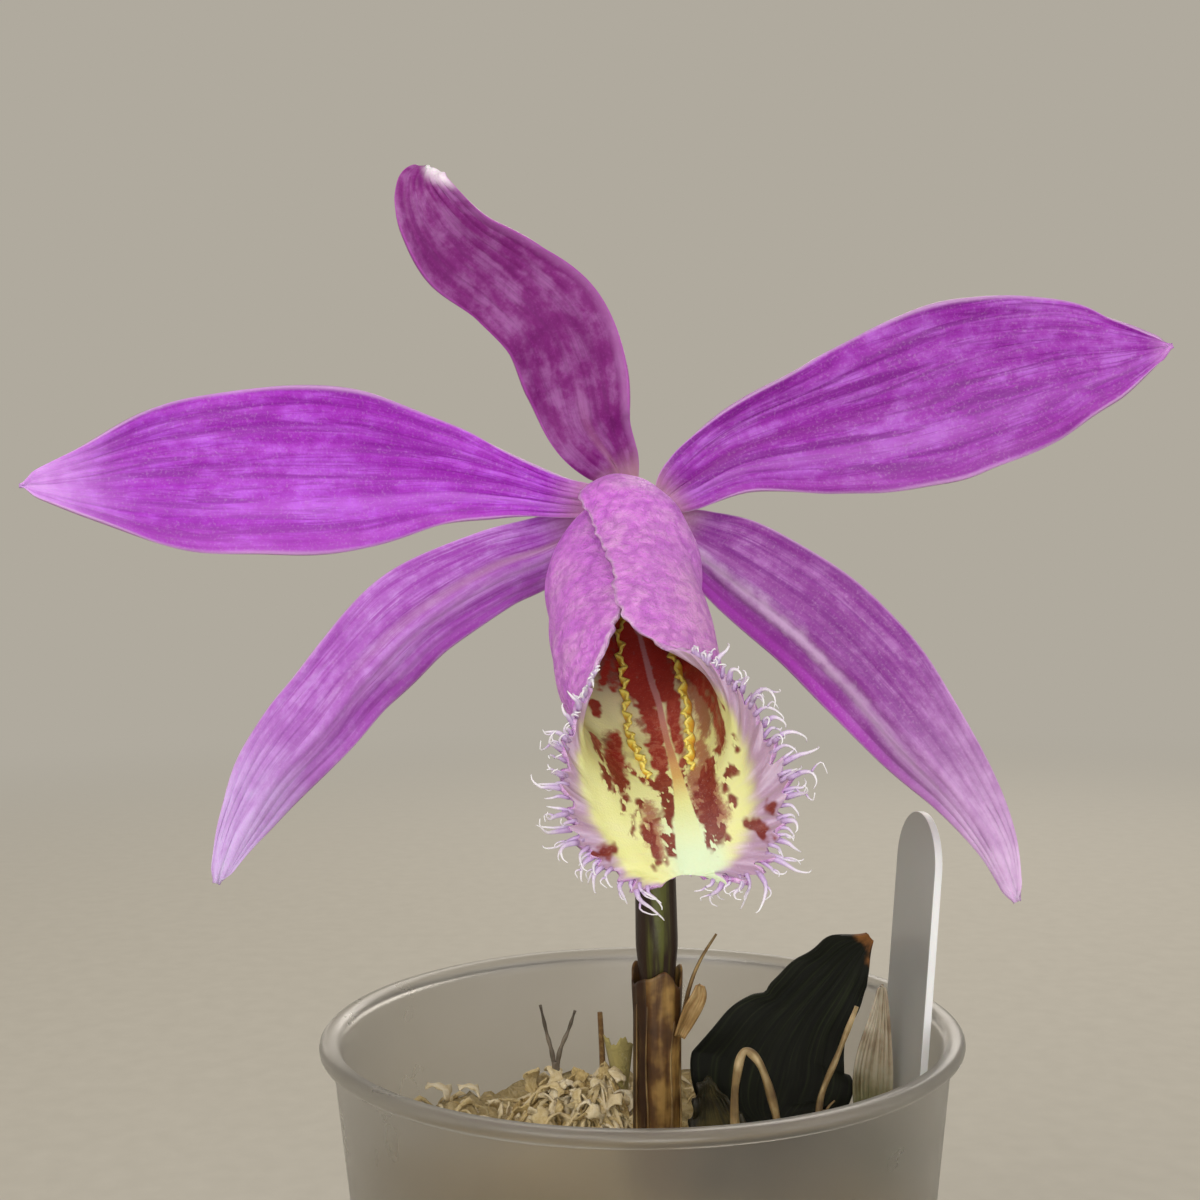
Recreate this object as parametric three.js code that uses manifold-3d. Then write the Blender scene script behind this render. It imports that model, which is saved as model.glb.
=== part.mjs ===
import * as THREE from 'three';
import { mergeVertices } from 'three/addons/utils/BufferGeometryUtils.js';
import Module from 'manifold-3d';

// A potted pleione orchid in flower. Millimetres, +X right, +Y away from the viewer, +Z up.
// The origin is the middle of the underside of the pot. The flower looks towards -Y.

// Pot: round, tapered, thin walled, with a small bead round the rim.
const POT_HEIGHT = 58;
const RIM_RADIUS = 31;
const BEAD_HEIGHT = 1.4;
const BEAD_STEP = 1.2;
const WALL_TAPER = 0.1086;
const WALL = 0.9;
const FLOOR = 1.4;
const DRAIN_COUNT = 6;
const DRAIN_RADIUS = 2.2;
const DRAIN_RING = 14;
const POT_SIDES = 64;

// Clearance between pieces that touch on the real plant.
const GAP = 0.3;

// Label: size, where the middle of its foot stands, its lean outwards and its turn about Z.
const LABEL_WIDTH = 10.4;
const LABEL_THICKNESS = 0.8;
const LABEL_HEIGHT = 36.8;
const LABEL_PLACE = [25.5, 3.5, 41];
const LABEL_LEAN = 0.08;
const LABEL_TURN = 1.74;

// Moss: top level, and the mounds and hollows on it as [x, y, reach, rise].
const MOSS_LEVEL = 44.2;
const MOSS_REACH = 27;
const MOSS_RINGS = 8;
const MOSS_SIDES = 40;
const SCRAPS = 44;
const SCRAP_RADIUS = 0.55;
const SCRAP_REACH = 25.4;
const MOUNDS = [
  [-7.5, 3, 6.5, 5.4],
  [-2.5, 4.5, 3.5, 3],
  [-20, 9, 6, 2.6],
  [0, -12, 9, 1.2],
  [13, 5, 9, -4.6],
];

// Bulb with its old leaf: where its axis stands in the pot, and its outline as [radius, height].
const BULB_PLACE = [13, 5, 0];
const BULB_PROFILE = [
  [0, 27],
  [4.2, 27.4],
  [6.6, 30],
  [7.6, 34],
  [7.3, 38],
  [5.6, 41.4],
  [3.4, 43.2],
  [2.5, 44.6],
  [2.3, 45.6],
  [0, 45.6],
];
const BULB_SIDES = 20;

// Places left free of loose scraps as [x, y, reach]: round the stem, the leaf, the label, the twig
// and the root loop.
const BARE_PLACES = [[1.5, 0, 5.6], [13, 5, 12.5], [25, 4, 9.5], [-8.4, 5, 2.4], [10, -5, 7]];

// Plain pits in the moss as [x, y, reach in x, reach in y, level of the foot]: for the stem, its
// sheath, the bulb, the two ends of the root loop, the strand, the twig and the withered sheath.
const PITS = [
  [1.5, 0, 2.1, 2.1, 30.7],
  [1.5, 0, 3.1, 3.1, 39.2],
  [BULB_PLACE[0], BULB_PLACE[1], 8, 8, 26.7],
  [8.9, -4.6, 0.9, 0.9, 40.1],
  [13.2, -5, 1, 0.9, 40.1],
  [17.1, -4.4, 0.9, 0.9, 40.1],
  [-8.4, 5.1, 0.8, 0.8, 43.5],
  [22.7, 3.1, 3.1, 1.9, 38],
];

// Stem: centre line and radius.
const SCAPE = [
  [1.5, 0, 31],
  [1.5, 0, 45],
  [1.7, 0.2, 63],
  [1.5, 1.0, 80],
  [1.2, 1.8, 91],
];
const SCAPE_RADIUS = 2.05;
const SCAPE_FOOT_RADIUS = 1.7;
const SHEATH_INNER = 2.05;
const SHEATH_FOOT = 39.6;
const SHEATH_TOP = 63;

// Where the tepals meet. The flower's pieces are measured from here.
const FLOWER_PLACE = [0, -4, 108];

// Tepals: stations from base to tip as [x, y, z, half width towards v = 1, half width towards
// v = -1, roll in degrees]. Seen from the front with the base down, v = 1 is the left margin.
const PETAL_RIGHT = [
  [2.3, -1.8, 0.4, 1.2, 1.2, 0],
  [4.6, -2.6, 2.2, 2.6, 2.6, 4],
  [9.8, -3, 5.2, 4.2, 4.2, 6],
  [17.6, -2, 7.4, 6.5, 6.5, 6],
  [24.5, -2, 9.1, 7.9, 7.9, 4],
  [31.4, -2.5, 11.1, 8, 8, 2],
  [38.5, -4, 12.8, 5.9, 6.7, 0],
  [43.8, -5.5, 13.3, 3.2, 4.3, -2],
  [48.3, -7, 13.8, 0.5, 0.5, -2],
];
const PETAL_LEFT = [
  [-2.7, -1.8, 0.4, 1.2, 1.2, 0],
  [-7.3, -3, 1.1, 2, 2, -4],
  [-12.5, -3, 2.3, 3.3, 3.3, -6],
  [-18.2, -2.5, 3.3, 4.9, 4.9, -6],
  [-25.2, -2, 3.7, 7.2, 7.2, -4],
  [-32.3, -2, 3.7, 7.9, 7.9, -2],
  [-39.1, -2.5, 3.5, 7.5, 7.5, 0],
  [-44.8, -4, 3.2, 6, 6, 2],
  [-50.5, -5.7, 2.7, 3.3, 3.3, 2],
  [-55.7, -7, 2.4, 0.5, 0.5, 2],
];
const DORSAL_SEPAL = [
  [-0.7, -0.2, 1.8, 1.1, 1.1, 0],
  [-2.2, -0.8, 4.3, 2.6, 2.6, 0],
  [-4.5, -2.5, 7.6, 3.9, 4.2, 0],
  [-5.6, -4, 12.1, 4.8, 5, 0],
  [-7.6, -6, 16.7, 4.9, 4.9, 0],
  [-11.2, -8, 20.2, 4.7, 4, 0],
  [-14.9, -10.5, 23, 5, 3.2, 0],
  [-17.5, -12.6, 25.4, 4, 2.6, 0],
  [-18.6, -13, 27.4, 2.3, 1.9, 0],
  [-17.5, -11.2, 28.1, 0.8, 0.8, 0],
];
const LATERAL_LEFT = [
  [-2.6, -0.1, -0.8, 1.2, 1.2, 0],
  [-8.3, -1.2, -3.6, 2.9, 2.9, 0],
  [-13.7, -3, -5.5, 3.9, 3.7, 0],
  [-20.5, -5, -9.6, 4.2, 4.3, 0],
  [-25.6, -6, -14.4, 4.2, 4.1, 0],
  [-29.4, -7, -19, 4, 3.9, 0],
  [-33.2, -8, -23.5, 3.2, 3.1, 0],
  [-35.8, -9.5, -28, 2.2, 2, 0],
  [-37.6, -11, -33, 0.5, 0.5, 0],
];
const LATERAL_RIGHT = [
  [2.1, -0.1, -1, 1.2, 1.2, 0],
  [5.7, -0.6, -3.1, 2.9, 2.9, 0],
  [9.7, -2.4, -5.6, 4.3, 4.3, 0],
  [15.9, -5, -10.2, 4.9, 4.9, 0],
  [21, -6, -15.3, 4.9, 5, 0],
  [25.3, -7, -20.7, 4.1, 4.2, 0],
  [28.9, -8, -25.7, 2.9, 2.8, 0],
  [31.6, -9.3, -30.4, 1.8, 1.7, 0],
  [33.2, -10.5, -35.5, 0.5, 0.5, 0],
];
const TEPAL_THICKNESS = 0.8;

// Lip: stations from claw to tip as [point of the floor, lean of the section forwards in degrees,
// point of the right margin, point of the left margin, belly]. The two bellies say how far the
// right and the left side stand out beyond a round arc.
const LIP = [
  [[0.1, -0.7, -2.7], 20, [1.5, -1, -2], [-1.4, -1, -2], [1, 1]],
  [[0, -2.3, -4], 24, [2.9, -4.2, -1.4], [-2.6, -4, -0.2], [1, 1]],
  [[-0.8, -5, -7.6], 25, [-2.2, -7.1, 2.7], [0, -6.9, 1.3], [0.84, 1.2]],
  [[-1.2, -8.3, -12.2], 28, [-5.4, -10.6, 1.2], [-1.4, -10.5, -0.8], [0.92, 1.3]],
  [[-1, -12, -15.4], 30, [-4.1, -15, -2.2], [-1.9, -14.5, -3.6], [0.97, 1.24]],
  [[-0.6, -15.5, -18], 32, [-2.7, -19.3, -4.8], [-2.1, -18.6, -6], [1, 1.16]],
  [[-0.2, -18, -20.4], 35, [-1.6, -23.8, -8.4], [-2.5, -23.3, -9], [1, 1.07]],
  [[0.4, -20.3, -22], 42, [1, -26.5, -11.2], [-3.6, -26, -12.1], [1, 1]],
  [[0.9, -22.3, -23.4], 52, [5, -27.3, -13], [-5.2, -26.9, -15.8], [1, 1]],
  [[1.4, -24, -24.8], 64, [8.6, -27.5, -17.6], [-6.4, -27.3, -20], [1, 1]],
  [[1.8, -25.4, -26.2], 74, [10.2, -27.8, -22.6], [-6, -27.5, -23.8], [1, 1]],
  [[2.2, -26.3, -27.6], 80, [9.7, -28, -26.6], [-4.6, -27.8, -27], [1, 1]],
  [[2.7, -26.9, -28.8], 84, [7.5, -27.9, -29.2], [-2.3, -27.9, -29.2], [1, 1]],
  [[3, -27.1, -29.6], 86, [4.8, -27.5, -29.9], [0.8, -27.5, -30.4], [1, 1]],
];
const LIP_THICKNESS = 0.7;
const FRINGE_HAIRS = 56;
const FRINGE_LENGTH = 2.7;
const HAIR_ROOT = 0.34;
const HAIR_TIP = 0.18;

// Crests on the lip floor: where they begin and end as shares of the lip's length, and how far
// across it they run, at even steps between the two ends.
const KEEL_FROM = 0.2;
const KEEL_TO = 0.6;
const KEEL_LEFT = [[-0.028, 0, 0], [-0.036, 0, 0], [-0.06, 0, 0], [-0.055, 0, 0]];
const KEEL_RIGHT = [[0.15, 0, 0], [0.215, 0, 0], [0.225, 0, 0], [0.228, 0, 0]];
const KEEL_HEIGHT = 1.1;
const KEEL_THICKNESS = 0.6;
const KEEL_TEETH = 14;
const KEEL_TOOTH = 0.35;
const KEEL_SNAKES = 9;
const KEEL_SWAY = 0.012;

// A sequence of numbers between 0 and 1 that is the same each time.
function seeded(seed) {
  let state = seed;
  return () => {
    state = (state * 1664525 + 1013904223) % 4294967296;
    return state / 4294967296;
  };
}

const wasm = await Module();
wasm.setup();

function toManifold(geometry) {
  const bare = geometry.clone();
  bare.deleteAttribute('normal');
  bare.deleteAttribute('uv');
  const merged = mergeVertices(bare, 1e-4);
  return new wasm.Manifold(new wasm.Mesh({
    numProp: 3,
    vertProperties: new Float32Array(merged.attributes.position.array),
    triVerts: new Uint32Array(merged.index.array),
  }));
}

function toGeometry(solid) {
  const mesh = solid.getMesh();
  const geometry = new THREE.BufferGeometry();
  geometry.setAttribute('position', new THREE.BufferAttribute(mesh.vertProperties, 3));
  geometry.setIndex(new THREE.BufferAttribute(mesh.triVerts, 1));
  return geometry;
}

// A curve through points given as arrays, and one through any three numbers that go with them.
function through(points) {
  const vectors = points.map((p) => new THREE.Vector3(p[0], p[1], p[2]));
  return new THREE.CatmullRomCurve3(vectors, false, 'catmullrom', 0.5);
}

function direction(curve, t) {
  const step = 0.004;
  const ahead = curve.getPoint(Math.min(t + step, 1));
  return ahead.sub(curve.getPoint(Math.max(t - step, 0))).normalize();
}

// The direction in which the front of a surface looks.
function faceOf(surface, u, v) {
  const step = 0.01;
  const along = surface(Math.min(u + step, 1), v).sub(surface(Math.max(u - step, 0), v));
  const across = surface(u, Math.min(v + step, 1)).sub(surface(u, Math.max(v - step, -1)));
  return along.cross(across).normalize();
}

// A curved sheet as one closed solid. surface(u, v) gives its back face; the front face lies one
// thickness before it. Both faces are split into the same triangles.
function sheet(rows, columns, surface, thickness) {
  const wide = columns + 1;
  const back = [];
  const front = [];
  for (let i = 0; i <= rows; i += 1) {
    for (let j = 0; j <= columns; j += 1) {
      const u = i / rows;
      const v = (2 * j) / columns - 1;
      const point = surface(u, v);
      back.push(point);
      front.push(point.clone().addScaledVector(faceOf(surface, u, v), thickness));
    }
  }
  const offset = back.length;
  const faces = [];
  for (let i = 0; i < rows; i += 1) {
    for (let j = 0; j < columns; j += 1) {
      const a = i * wide + j;
      const b = a + wide;
      faces.push(a, b + 1, b, a, a + 1, b + 1);
      faces.push(offset + a, offset + b, offset + b + 1, offset + a, offset + b + 1, offset + a + 1);
    }
  }
  const edge = [];
  for (let j = 0; j < columns; j += 1) edge.push(j);
  for (let i = 0; i < rows; i += 1) edge.push(i * wide + columns);
  for (let j = columns; j > 0; j -= 1) edge.push(rows * wide + j);
  for (let i = rows; i > 0; i -= 1) edge.push(i * wide);
  edge.forEach((a, k) => {
    const b = edge[(k + 1) % edge.length];
    faces.push(a, offset + a, b, b, offset + a, offset + b);
  });
  const geometry = new THREE.BufferGeometry();
  const positions = [...back, ...front].flatMap((p) => [p.x, p.y, p.z]);
  geometry.setAttribute('position', new THREE.Float32BufferAttribute(positions, 3));
  geometry.setIndex(faces);
  return geometry;
}

// A rod along a curve. radius(t, angle) may swell and rib it.
function rod(curve, radius, sides, rows) {
  const geometry = new THREE.CylinderGeometry(1, 1, 1, sides, rows);
  const place = geometry.attributes.position;
  const reference = new THREE.Vector3(0.3, 1, 0.15).normalize();
  for (let i = 0; i < place.count; i += 1) {
    const t = THREE.MathUtils.clamp(place.getY(i) + 0.5, 0, 1);
    const angle = Math.atan2(place.getZ(i), place.getX(i));
    const spread = Math.hypot(place.getX(i), place.getZ(i)) * radius(t, angle);
    const tangent = direction(curve, t);
    const side = tangent.clone().cross(reference).normalize();
    const up = side.clone().cross(tangent);
    const point = curve.getPoint(t);
    point.addScaledVector(side, spread * Math.cos(angle));
    point.addScaledVector(up, spread * Math.sin(angle));
    place.setXYZ(i, point.x, point.y, point.z);
  }
  return geometry;
}

// The back face of a tepal: a spline midrib with half widths and roll, cupped across, with a
// sunken midvein, a ridge along which one flank turns back, and waved margins.
function tepalSurface(stations, { cup = 0, fold = 0, foldAt = 0, wave = 0, waves = 5, twist = 0 }) {
  const midrib = through(stations);
  const widths = through(stations.map((s) => s.slice(3, 6)));
  const front = new THREE.Vector3(0, -1, 0);
  return (u, v) => {
    const along = direction(midrib, u);
    const side = front.clone().cross(along).normalize();
    const face = along.clone().cross(side).normalize();
    const shape = widths.getPoint(u);
    side.applyAxisAngle(along, THREE.MathUtils.degToRad(shape.z));
    face.applyAxisAngle(along, THREE.MathUtils.degToRad(shape.z));
    const half = Math.max(v > 0 ? shape.x : shape.y, 0.4);
    const ruffle = wave * Math.sin(waves * 2 * Math.PI * u + 2.1 * v + twist) * v * v * Math.abs(v);
    const ridge = fold > 0 ? -fold * half * Math.max(0, v * Math.sign(foldAt) - Math.abs(foldAt)) : 0;
    const rise = cup * half * v * v + ridge + ruffle * Math.min(1, half / 4);
    return midrib.getPoint(u).addScaledVector(side, half * v).addScaledVector(face, rise);
  };
}

// The outer face of the lip. Across each section runs an arc that leaves the floor level and ends
// at the free margin, so that the sides rise, roll over and overlap where the margins ask for it.
const lipFloor = through(LIP.map(([floor]) => floor));
const lipRight = through(LIP.map(([, , right]) => right));
const lipLeft = through(LIP.map(([, , , left]) => left));
const lipForm = through(LIP.map(([, lean, , , belly]) => [lean, ...belly]));

function lipSurface(u, v) {
  const floor = lipFloor.getPoint(u);
  const margin = (v > 0 ? lipRight : lipLeft).getPoint(u).sub(floor);
  const form = lipForm.getPoint(u);
  const lean = THREE.MathUtils.degToRad(form.x);
  const belly = v > 0 ? form.y : form.z;
  const up = new THREE.Vector3(0, -Math.sin(lean), Math.cos(lean));
  const ahead = new THREE.Vector3(0, -Math.cos(lean), -Math.sin(lean));
  const outwards = Math.sign(v) * margin.x;
  const rise = margin.dot(up);
  const slide = margin.dot(ahead);
  const sweep = 2 * Math.atan2(rise, outwards);
  const radius = (outwards * outwards + rise * rise) / (2 * rise);
  const s = Math.abs(v);
  const x = Math.sign(v) * radius * Math.sin(sweep * s) * belly;
  const y = radius * (1 - Math.cos(sweep * s));
  return floor.add(new THREE.Vector3(x, 0, 0)).addScaledVector(up, y)
    .addScaledVector(ahead, slide * s * s);
}

// The lip with its fringe: tapering bent hairs that leave the margin square to it.
function lipGeometry() {
  const random = seeded(7);
  let solid = toManifold(sheet(26, 20, lipSurface, LIP_THICKNESS));
  for (let k = 0; k < FRINGE_HAIRS; k += 1) {
    const way = (k + 0.5) / FRINGE_HAIRS;
    const sideSign = way < 0.5 ? -1 : 1;
    const u = 0.55 + 0.44 * (1 - Math.abs(2 * way - 1) ** 1.25);
    const sunk = faceOf(lipSurface, u, sideSign * 0.97).multiplyScalar(LIP_THICKNESS / 2);
    const root = lipSurface(u, sideSign * 0.95).add(sunk);
    const rim = lipSurface(u, sideSign).add(sunk);
    const along = lipSurface(Math.min(u + 0.01, 1), sideSign).sub(lipSurface(u - 0.01, sideSign));
    const inner = lipSurface(u, sideSign * 0.8).add(sunk);
    const outwards = rim.clone().sub(inner);
    outwards.addScaledVector(along, -outwards.dot(along) / along.lengthSq()).normalize();
    const grown = THREE.MathUtils.smoothstep(u, 0.5, 0.68);
    const length = FRINGE_LENGTH * (0.35 + 0.65 * grown) * (0.75 + 0.5 * random());
    const lean = along.clone().normalize().multiplyScalar((random() - 0.5) * 1.1);
    const reach = outwards.clone().add(lean).normalize();
    const droop = new THREE.Vector3(0, -0.5 * random(), -0.7);
    const hair = new THREE.CatmullRomCurve3([
      root,
      rim.clone().addScaledVector(reach, length * 0.45),
      rim.clone().addScaledVector(reach, length * 0.85).addScaledVector(droop, length * 0.2),
    ]);
    solid = solid.add(toManifold(rod(hair, (t) => HAIR_ROOT + (HAIR_TIP - HAIR_ROOT) * t, 3, 2)));
  }
  return toGeometry(solid);
}

// One toothed crest on the lip floor: a thin wall that snakes a little from side to side and runs
// out lower at both ends.
function keelGeometry(line) {
  const course = through(line);
  const wall = (u, v) => {
    const t = KEEL_FROM + (KEEL_TO - KEEL_FROM) * u;
    const across = course.getPoint(u).x + KEEL_SWAY * Math.sin(2 * Math.PI * KEEL_SNAKES * u);
    const base = lipSurface(t, across);
    const inward = faceOf(lipSurface, t, across);
    const fade = Math.min(1, 6 * u, 6 * (1 - u) + 0.3);
    const tooth = KEEL_TOOTH * Math.sin(2 * Math.PI * KEEL_TEETH * u);
    const high = (KEEL_HEIGHT + tooth) * (0.4 + 0.6 * fade);
    return base.addScaledVector(inward, LIP_THICKNESS + GAP + high * (v + 1) * 0.5);
  };
  return sheet(36, 1, wall, KEEL_THICKNESS);
}

function wallRadius(z) {
  return RIM_RADIUS - BEAD_STEP - (POT_HEIGHT - BEAD_HEIGHT - z) * WALL_TAPER;
}

// The pot in section from the axis out, round the outside, over the bead and down the inside.
function potGeometry() {
  const beadFoot = POT_HEIGHT - BEAD_HEIGHT;
  const profile = [
    [0, 0],
    [wallRadius(0) - 0.8, 0],
    [wallRadius(0.8), 0.8],
    [wallRadius(beadFoot), beadFoot],
    [RIM_RADIUS - 0.3, beadFoot],
    [RIM_RADIUS, beadFoot + 0.4],
    [RIM_RADIUS, POT_HEIGHT - 0.4],
    [RIM_RADIUS - 0.4, POT_HEIGHT],
    [RIM_RADIUS - BEAD_STEP - 0.4, POT_HEIGHT],
    [wallRadius(beadFoot) - WALL, beadFoot],
    [wallRadius(FLOOR + 1.2) - WALL, FLOOR + 1.2],
    [wallRadius(FLOOR) - WALL - 1.2, FLOOR],
    [0, FLOOR],
  ].map(([x, y]) => new THREE.Vector2(x, y));
  const shell = new THREE.LatheGeometry(profile, POT_SIDES);
  shell.rotateX(Math.PI / 2);
  let solid = toManifold(shell);
  for (let k = 0; k < DRAIN_COUNT; k += 1) {
    const angle = ((k + 0.5) * 2 * Math.PI) / DRAIN_COUNT;
    const hole = new THREE.CylinderGeometry(DRAIN_RADIUS, DRAIN_RADIUS, 4 * FLOOR, 16);
    hole.rotateX(Math.PI / 2);
    hole.translate(DRAIN_RING * Math.cos(angle), DRAIN_RING * Math.sin(angle), 0);
    solid = solid.subtract(toManifold(hole));
  }
  return toGeometry(solid);
}

// Height of the moss at a point: level, mounds and a fine lumpiness.
function mossHeight(x, y) {
  let z = MOSS_LEVEL;
  MOUNDS.forEach(([mx, my, reach, rise]) => {
    z += rise * Math.exp(-((x - mx) ** 2 + (y - my) ** 2) / (reach * reach));
  });
  z += 0.8 * Math.sin(x * 0.9 + 1.3 * Math.sin(y * 0.7)) * Math.cos(y * 0.8 + 0.6);
  return z + 0.5 * Math.sin(x * 1.9 - y * 1.3);
}

const scapeLine = through(SCAPE);

// The label upright on its foot in its own axes: width along X, rounded top. spare makes it bigger
// all round, for the slot that it stands in.
function labelGeometry(spare) {
  const half = LABEL_WIDTH / 2 + spare;
  const shoulder = LABEL_HEIGHT - LABEL_WIDTH / 2;
  const shape = new THREE.Shape();
  shape.moveTo(-half, -spare);
  shape.lineTo(half, -spare);
  shape.lineTo(half, shoulder);
  shape.absarc(0, shoulder, half, 0, Math.PI, false);
  const depth = LABEL_THICKNESS + 2 * spare;
  const geometry = new THREE.ExtrudeGeometry(shape, { depth, bevelEnabled: false, curveSegments: 8 });
  geometry.translate(0, 0, -depth / 2);
  geometry.rotateX(Math.PI / 2);
  return geometry;
}

const labelSeat = new THREE.Object3D();
labelSeat.position.set(...LABEL_PLACE);
labelSeat.rotation.set(0, LABEL_LEAN, LABEL_TURN);
labelSeat.updateMatrix();

const rootLoop = through([
  [9, -4.6, 40.5],
  [8.8, -4.6, 47],
  [8.8, -4.6, 53],
  [9.7, -4.6, 56.3],
  [11.2, -4.7, 55],
  [12.6, -4.8, 50.5],
  [13, -4.9, 46],
  [13.4, -5, 40.5],
]);
const brownStrand = through([
  [17.2, -4.6, 40.5],
  [16.9, -4, 46],
  [17, -3.4, 51],
  [18.8, -3, 55.4],
  [20.7, -2.8, 60],
]);
const twigStem = through([[-8.3, 5.2, 44], [-8.5, 5, 49], [-8.6, 4.9, 52.6]]);
const witheredStations = [
  [22.5, 2.7, 39, 1.3, 1.3, 0],
  [22.7, 2.9, 46, 2, 2, 10],
  [23, 3, 52, 2.1, 2.1, 5],
  [23.7, 3.2, 57, 1.3, 1.3, 0],
  [24.2, 3.4, 60.5, 0.6, 0.6, 0],
];

// The point of the stem's centre line at a height, found by halving.
function scapeAt(z) {
  let low = 0;
  let high = 1;
  while (high - low > 1e-6) {
    const mid = (low + high) / 2;
    if (scapeLine.getPoint(mid).z < z) low = mid;
    else high = mid;
  }
  return scapeLine.getPoint(low);
}

function scapeRadius(t) {
  const z = scapeLine.getPoint(t).z;
  const swell = THREE.MathUtils.smoothstep(z, SHEATH_TOP - 1, SHEATH_TOP + 3);
  return SCAPE_FOOT_RADIUS + (SCAPE_RADIUS - SCAPE_FOOT_RADIUS) * swell;
}

// The moss: a lumpy-topped filling with bent scraps of moss on it and plain holes for the plant.
// The top of the turned blank lies well above the pot, and each of its points is then lowered.
function mossGeometry() {
  const foot = FLOOR + GAP;
  const blank = 2 * POT_HEIGHT;
  const profile = [[0, foot], [wallRadius(foot) - WALL - GAP - 1.6, foot]];
  profile.push([wallRadius(foot + 1.6) - WALL - GAP, foot + 1.6]);
  for (let k = MOSS_RINGS; k >= 0; k -= 1) profile.push([(k / MOSS_RINGS) * MOSS_REACH, blank]);
  const body = new THREE.LatheGeometry(profile.map(([x, y]) => new THREE.Vector2(x, y)), MOSS_SIDES);
  body.rotateX(Math.PI / 2);
  const place = body.attributes.position;
  for (let i = 0; i < place.count; i += 1) {
    if (place.getZ(i) > POT_HEIGHT) {
      const x = place.getX(i);
      const y = place.getY(i);
      const z = mossHeight(x, y);
      const onWall = Math.hypot(x, y) > MOSS_REACH - 1;
      const scale = onWall ? (wallRadius(z) - WALL - GAP) / MOSS_REACH : 1;
      place.setXYZ(i, x * scale, y * scale, z);
    }
  }
  let solid = toManifold(body);
  const random = seeded(23);
  for (let k = 0; k < SCRAPS; k += 1) {
    const heaped = k % 2 === 0;
    const mound = MOUNDS[k % 6 === 0 ? 2 : 0];
    const angle = 2 * Math.PI * random();
    const far = heaped ? 6.5 * Math.sqrt(random()) : 24 * Math.sqrt(random());
    const x = (heaped ? mound[0] : 0) + far * Math.cos(angle);
    const y = (heaped ? mound[1] : 0) + far * Math.sin(angle);
    const turn = 2 * Math.PI * random();
    const length = 3 + 3.5 * random();
    const lift = heaped ? 0.9 + 1.4 * random() : 0.4 + 0.5 * random();
    if (BARE_PLACES.some(([cx, cy, reach]) => Math.hypot(x - cx, y - cy) < reach)) continue;
    const ends = [-0.5, 0, 0.5].map((s) => {
      const px = x + s * length * Math.cos(turn);
      const py = y + s * length * Math.sin(turn);
      const keep = Math.min(1, SCRAP_REACH / Math.hypot(px, py));
      const z = mossHeight(px, py) + (s === 0 ? lift : -0.9) + (s > 0 ? 1.6 * random() : 0);
      return new THREE.Vector3(px * keep, py * keep, z);
    });
    solid = solid.add(toManifold(rod(new THREE.CatmullRomCurve3(ends), () => SCRAP_RADIUS, 4, 2)));
  }
  const holes = PITS.map(([x, y, reachX, reachY, foot]) => {
    const pit = new THREE.CylinderGeometry(1, 1, 40, reachX > 2 ? 20 : 8);
    pit.rotateX(Math.PI / 2);
    pit.scale(reachX, reachY, 1);
    pit.translate(x, y, foot + 20);
    return pit;
  });
  holes.push(labelGeometry(GAP).applyMatrix4(labelSeat.matrix));
  holes.forEach((hole) => {
    solid = solid.subtract(toManifold(hole));
  });
  return toGeometry(solid);
}

// The brown papery sheath: a torn tube round the foot of the stem with a flake and a strand.
function sheathGeometry() {
  const tube = (u, v) => {
    const angle = 2.75 * v + 0.9;
    const top = SHEATH_TOP + 0.9 * Math.sin(3 * angle) + 0.6 * Math.sin(5 * angle + 1);
    const z = SHEATH_FOOT + (top - SHEATH_FOOT) * u;
    const centre = scapeAt(z);
    const flare = 0.3 * THREE.MathUtils.smoothstep(u, 0.7, 1) * (1.3 + Math.sin(2 * angle));
    const r = SHEATH_INNER + 0.6 + flare;
    return new THREE.Vector3(centre.x + r * Math.cos(angle), centre.y + r * Math.sin(angle), z);
  };
  let solid = toManifold(sheet(8, 16, tube, 0.6));
  const flake = tepalSurface([
    [3.6, -1.4, 57, 0.7, 0.7, 20],
    [4.7, -1.7, 59.5, 1, 1, 20],
    [5.4, -1.9, 61, 0.9, 0.9, 20],
    [5.6, -2, 62.2, 0.5, 0.5, 20],
  ], { cup: 0.2 });
  solid = solid.add(toManifold(sheet(5, 2, flake, 0.6)));
  const strand = through([[3.9, -1.2, 58], [4.8, -1.4, 61.9], [5.9, -1.4, 64.5], [7.4, -1.2, 66.8]]);
  solid = solid.add(toManifold(rod(strand, (t) => 0.34 - 0.08 * t, 5, 6)));
  return toGeometry(solid);
}

function twigGeometry() {
  const left = through([[-8.5, 5, 51], [-8.9, 4.9, 53.6], [-9.4, 4.8, 55.6], [-10, 4.8, 58.4]]);
  const right = through([[-8.5, 5, 51], [-8.1, 4.9, 53.6], [-7.2, 4.8, 55.8], [-6.5, 4.8, 57.8]]);
  let solid = toManifold(rod(twigStem, () => 0.38, 5, 4));
  [left, right].forEach((branch) => {
    solid = solid.add(toManifold(rod(branch, (t) => 0.34 - 0.1 * t, 5, 5)));
  });
  return toGeometry(solid);
}

const plant = new THREE.Group();
plant.name = 'potted_pleione';
const shoot = new THREE.Group();
shoot.position.set(...BULB_PLACE);
const flower = new THREE.Group();
flower.position.set(...FLOWER_PLACE);
plant.add(shoot, flower);

function place(group, name, geometry, color, roughness) {
  const material = new THREE.MeshStandardMaterial({ color, roughness, metalness: 0 });
  const mesh = new THREE.Mesh(geometry, material);
  mesh.name = name;
  group.add(mesh);
  return mesh;
}

place(plant, 'pot', potGeometry(), 0x8c8880, 0.45);
place(plant, 'moss', mossGeometry(), 0xb8a068, 0.95);
place(plant, 'scape', rod(scapeLine, scapeRadius, 12, 16), 0x42301c, 0.55);
place(plant, 'basal_sheath', sheathGeometry(), 0x8a6030, 0.85);

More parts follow.
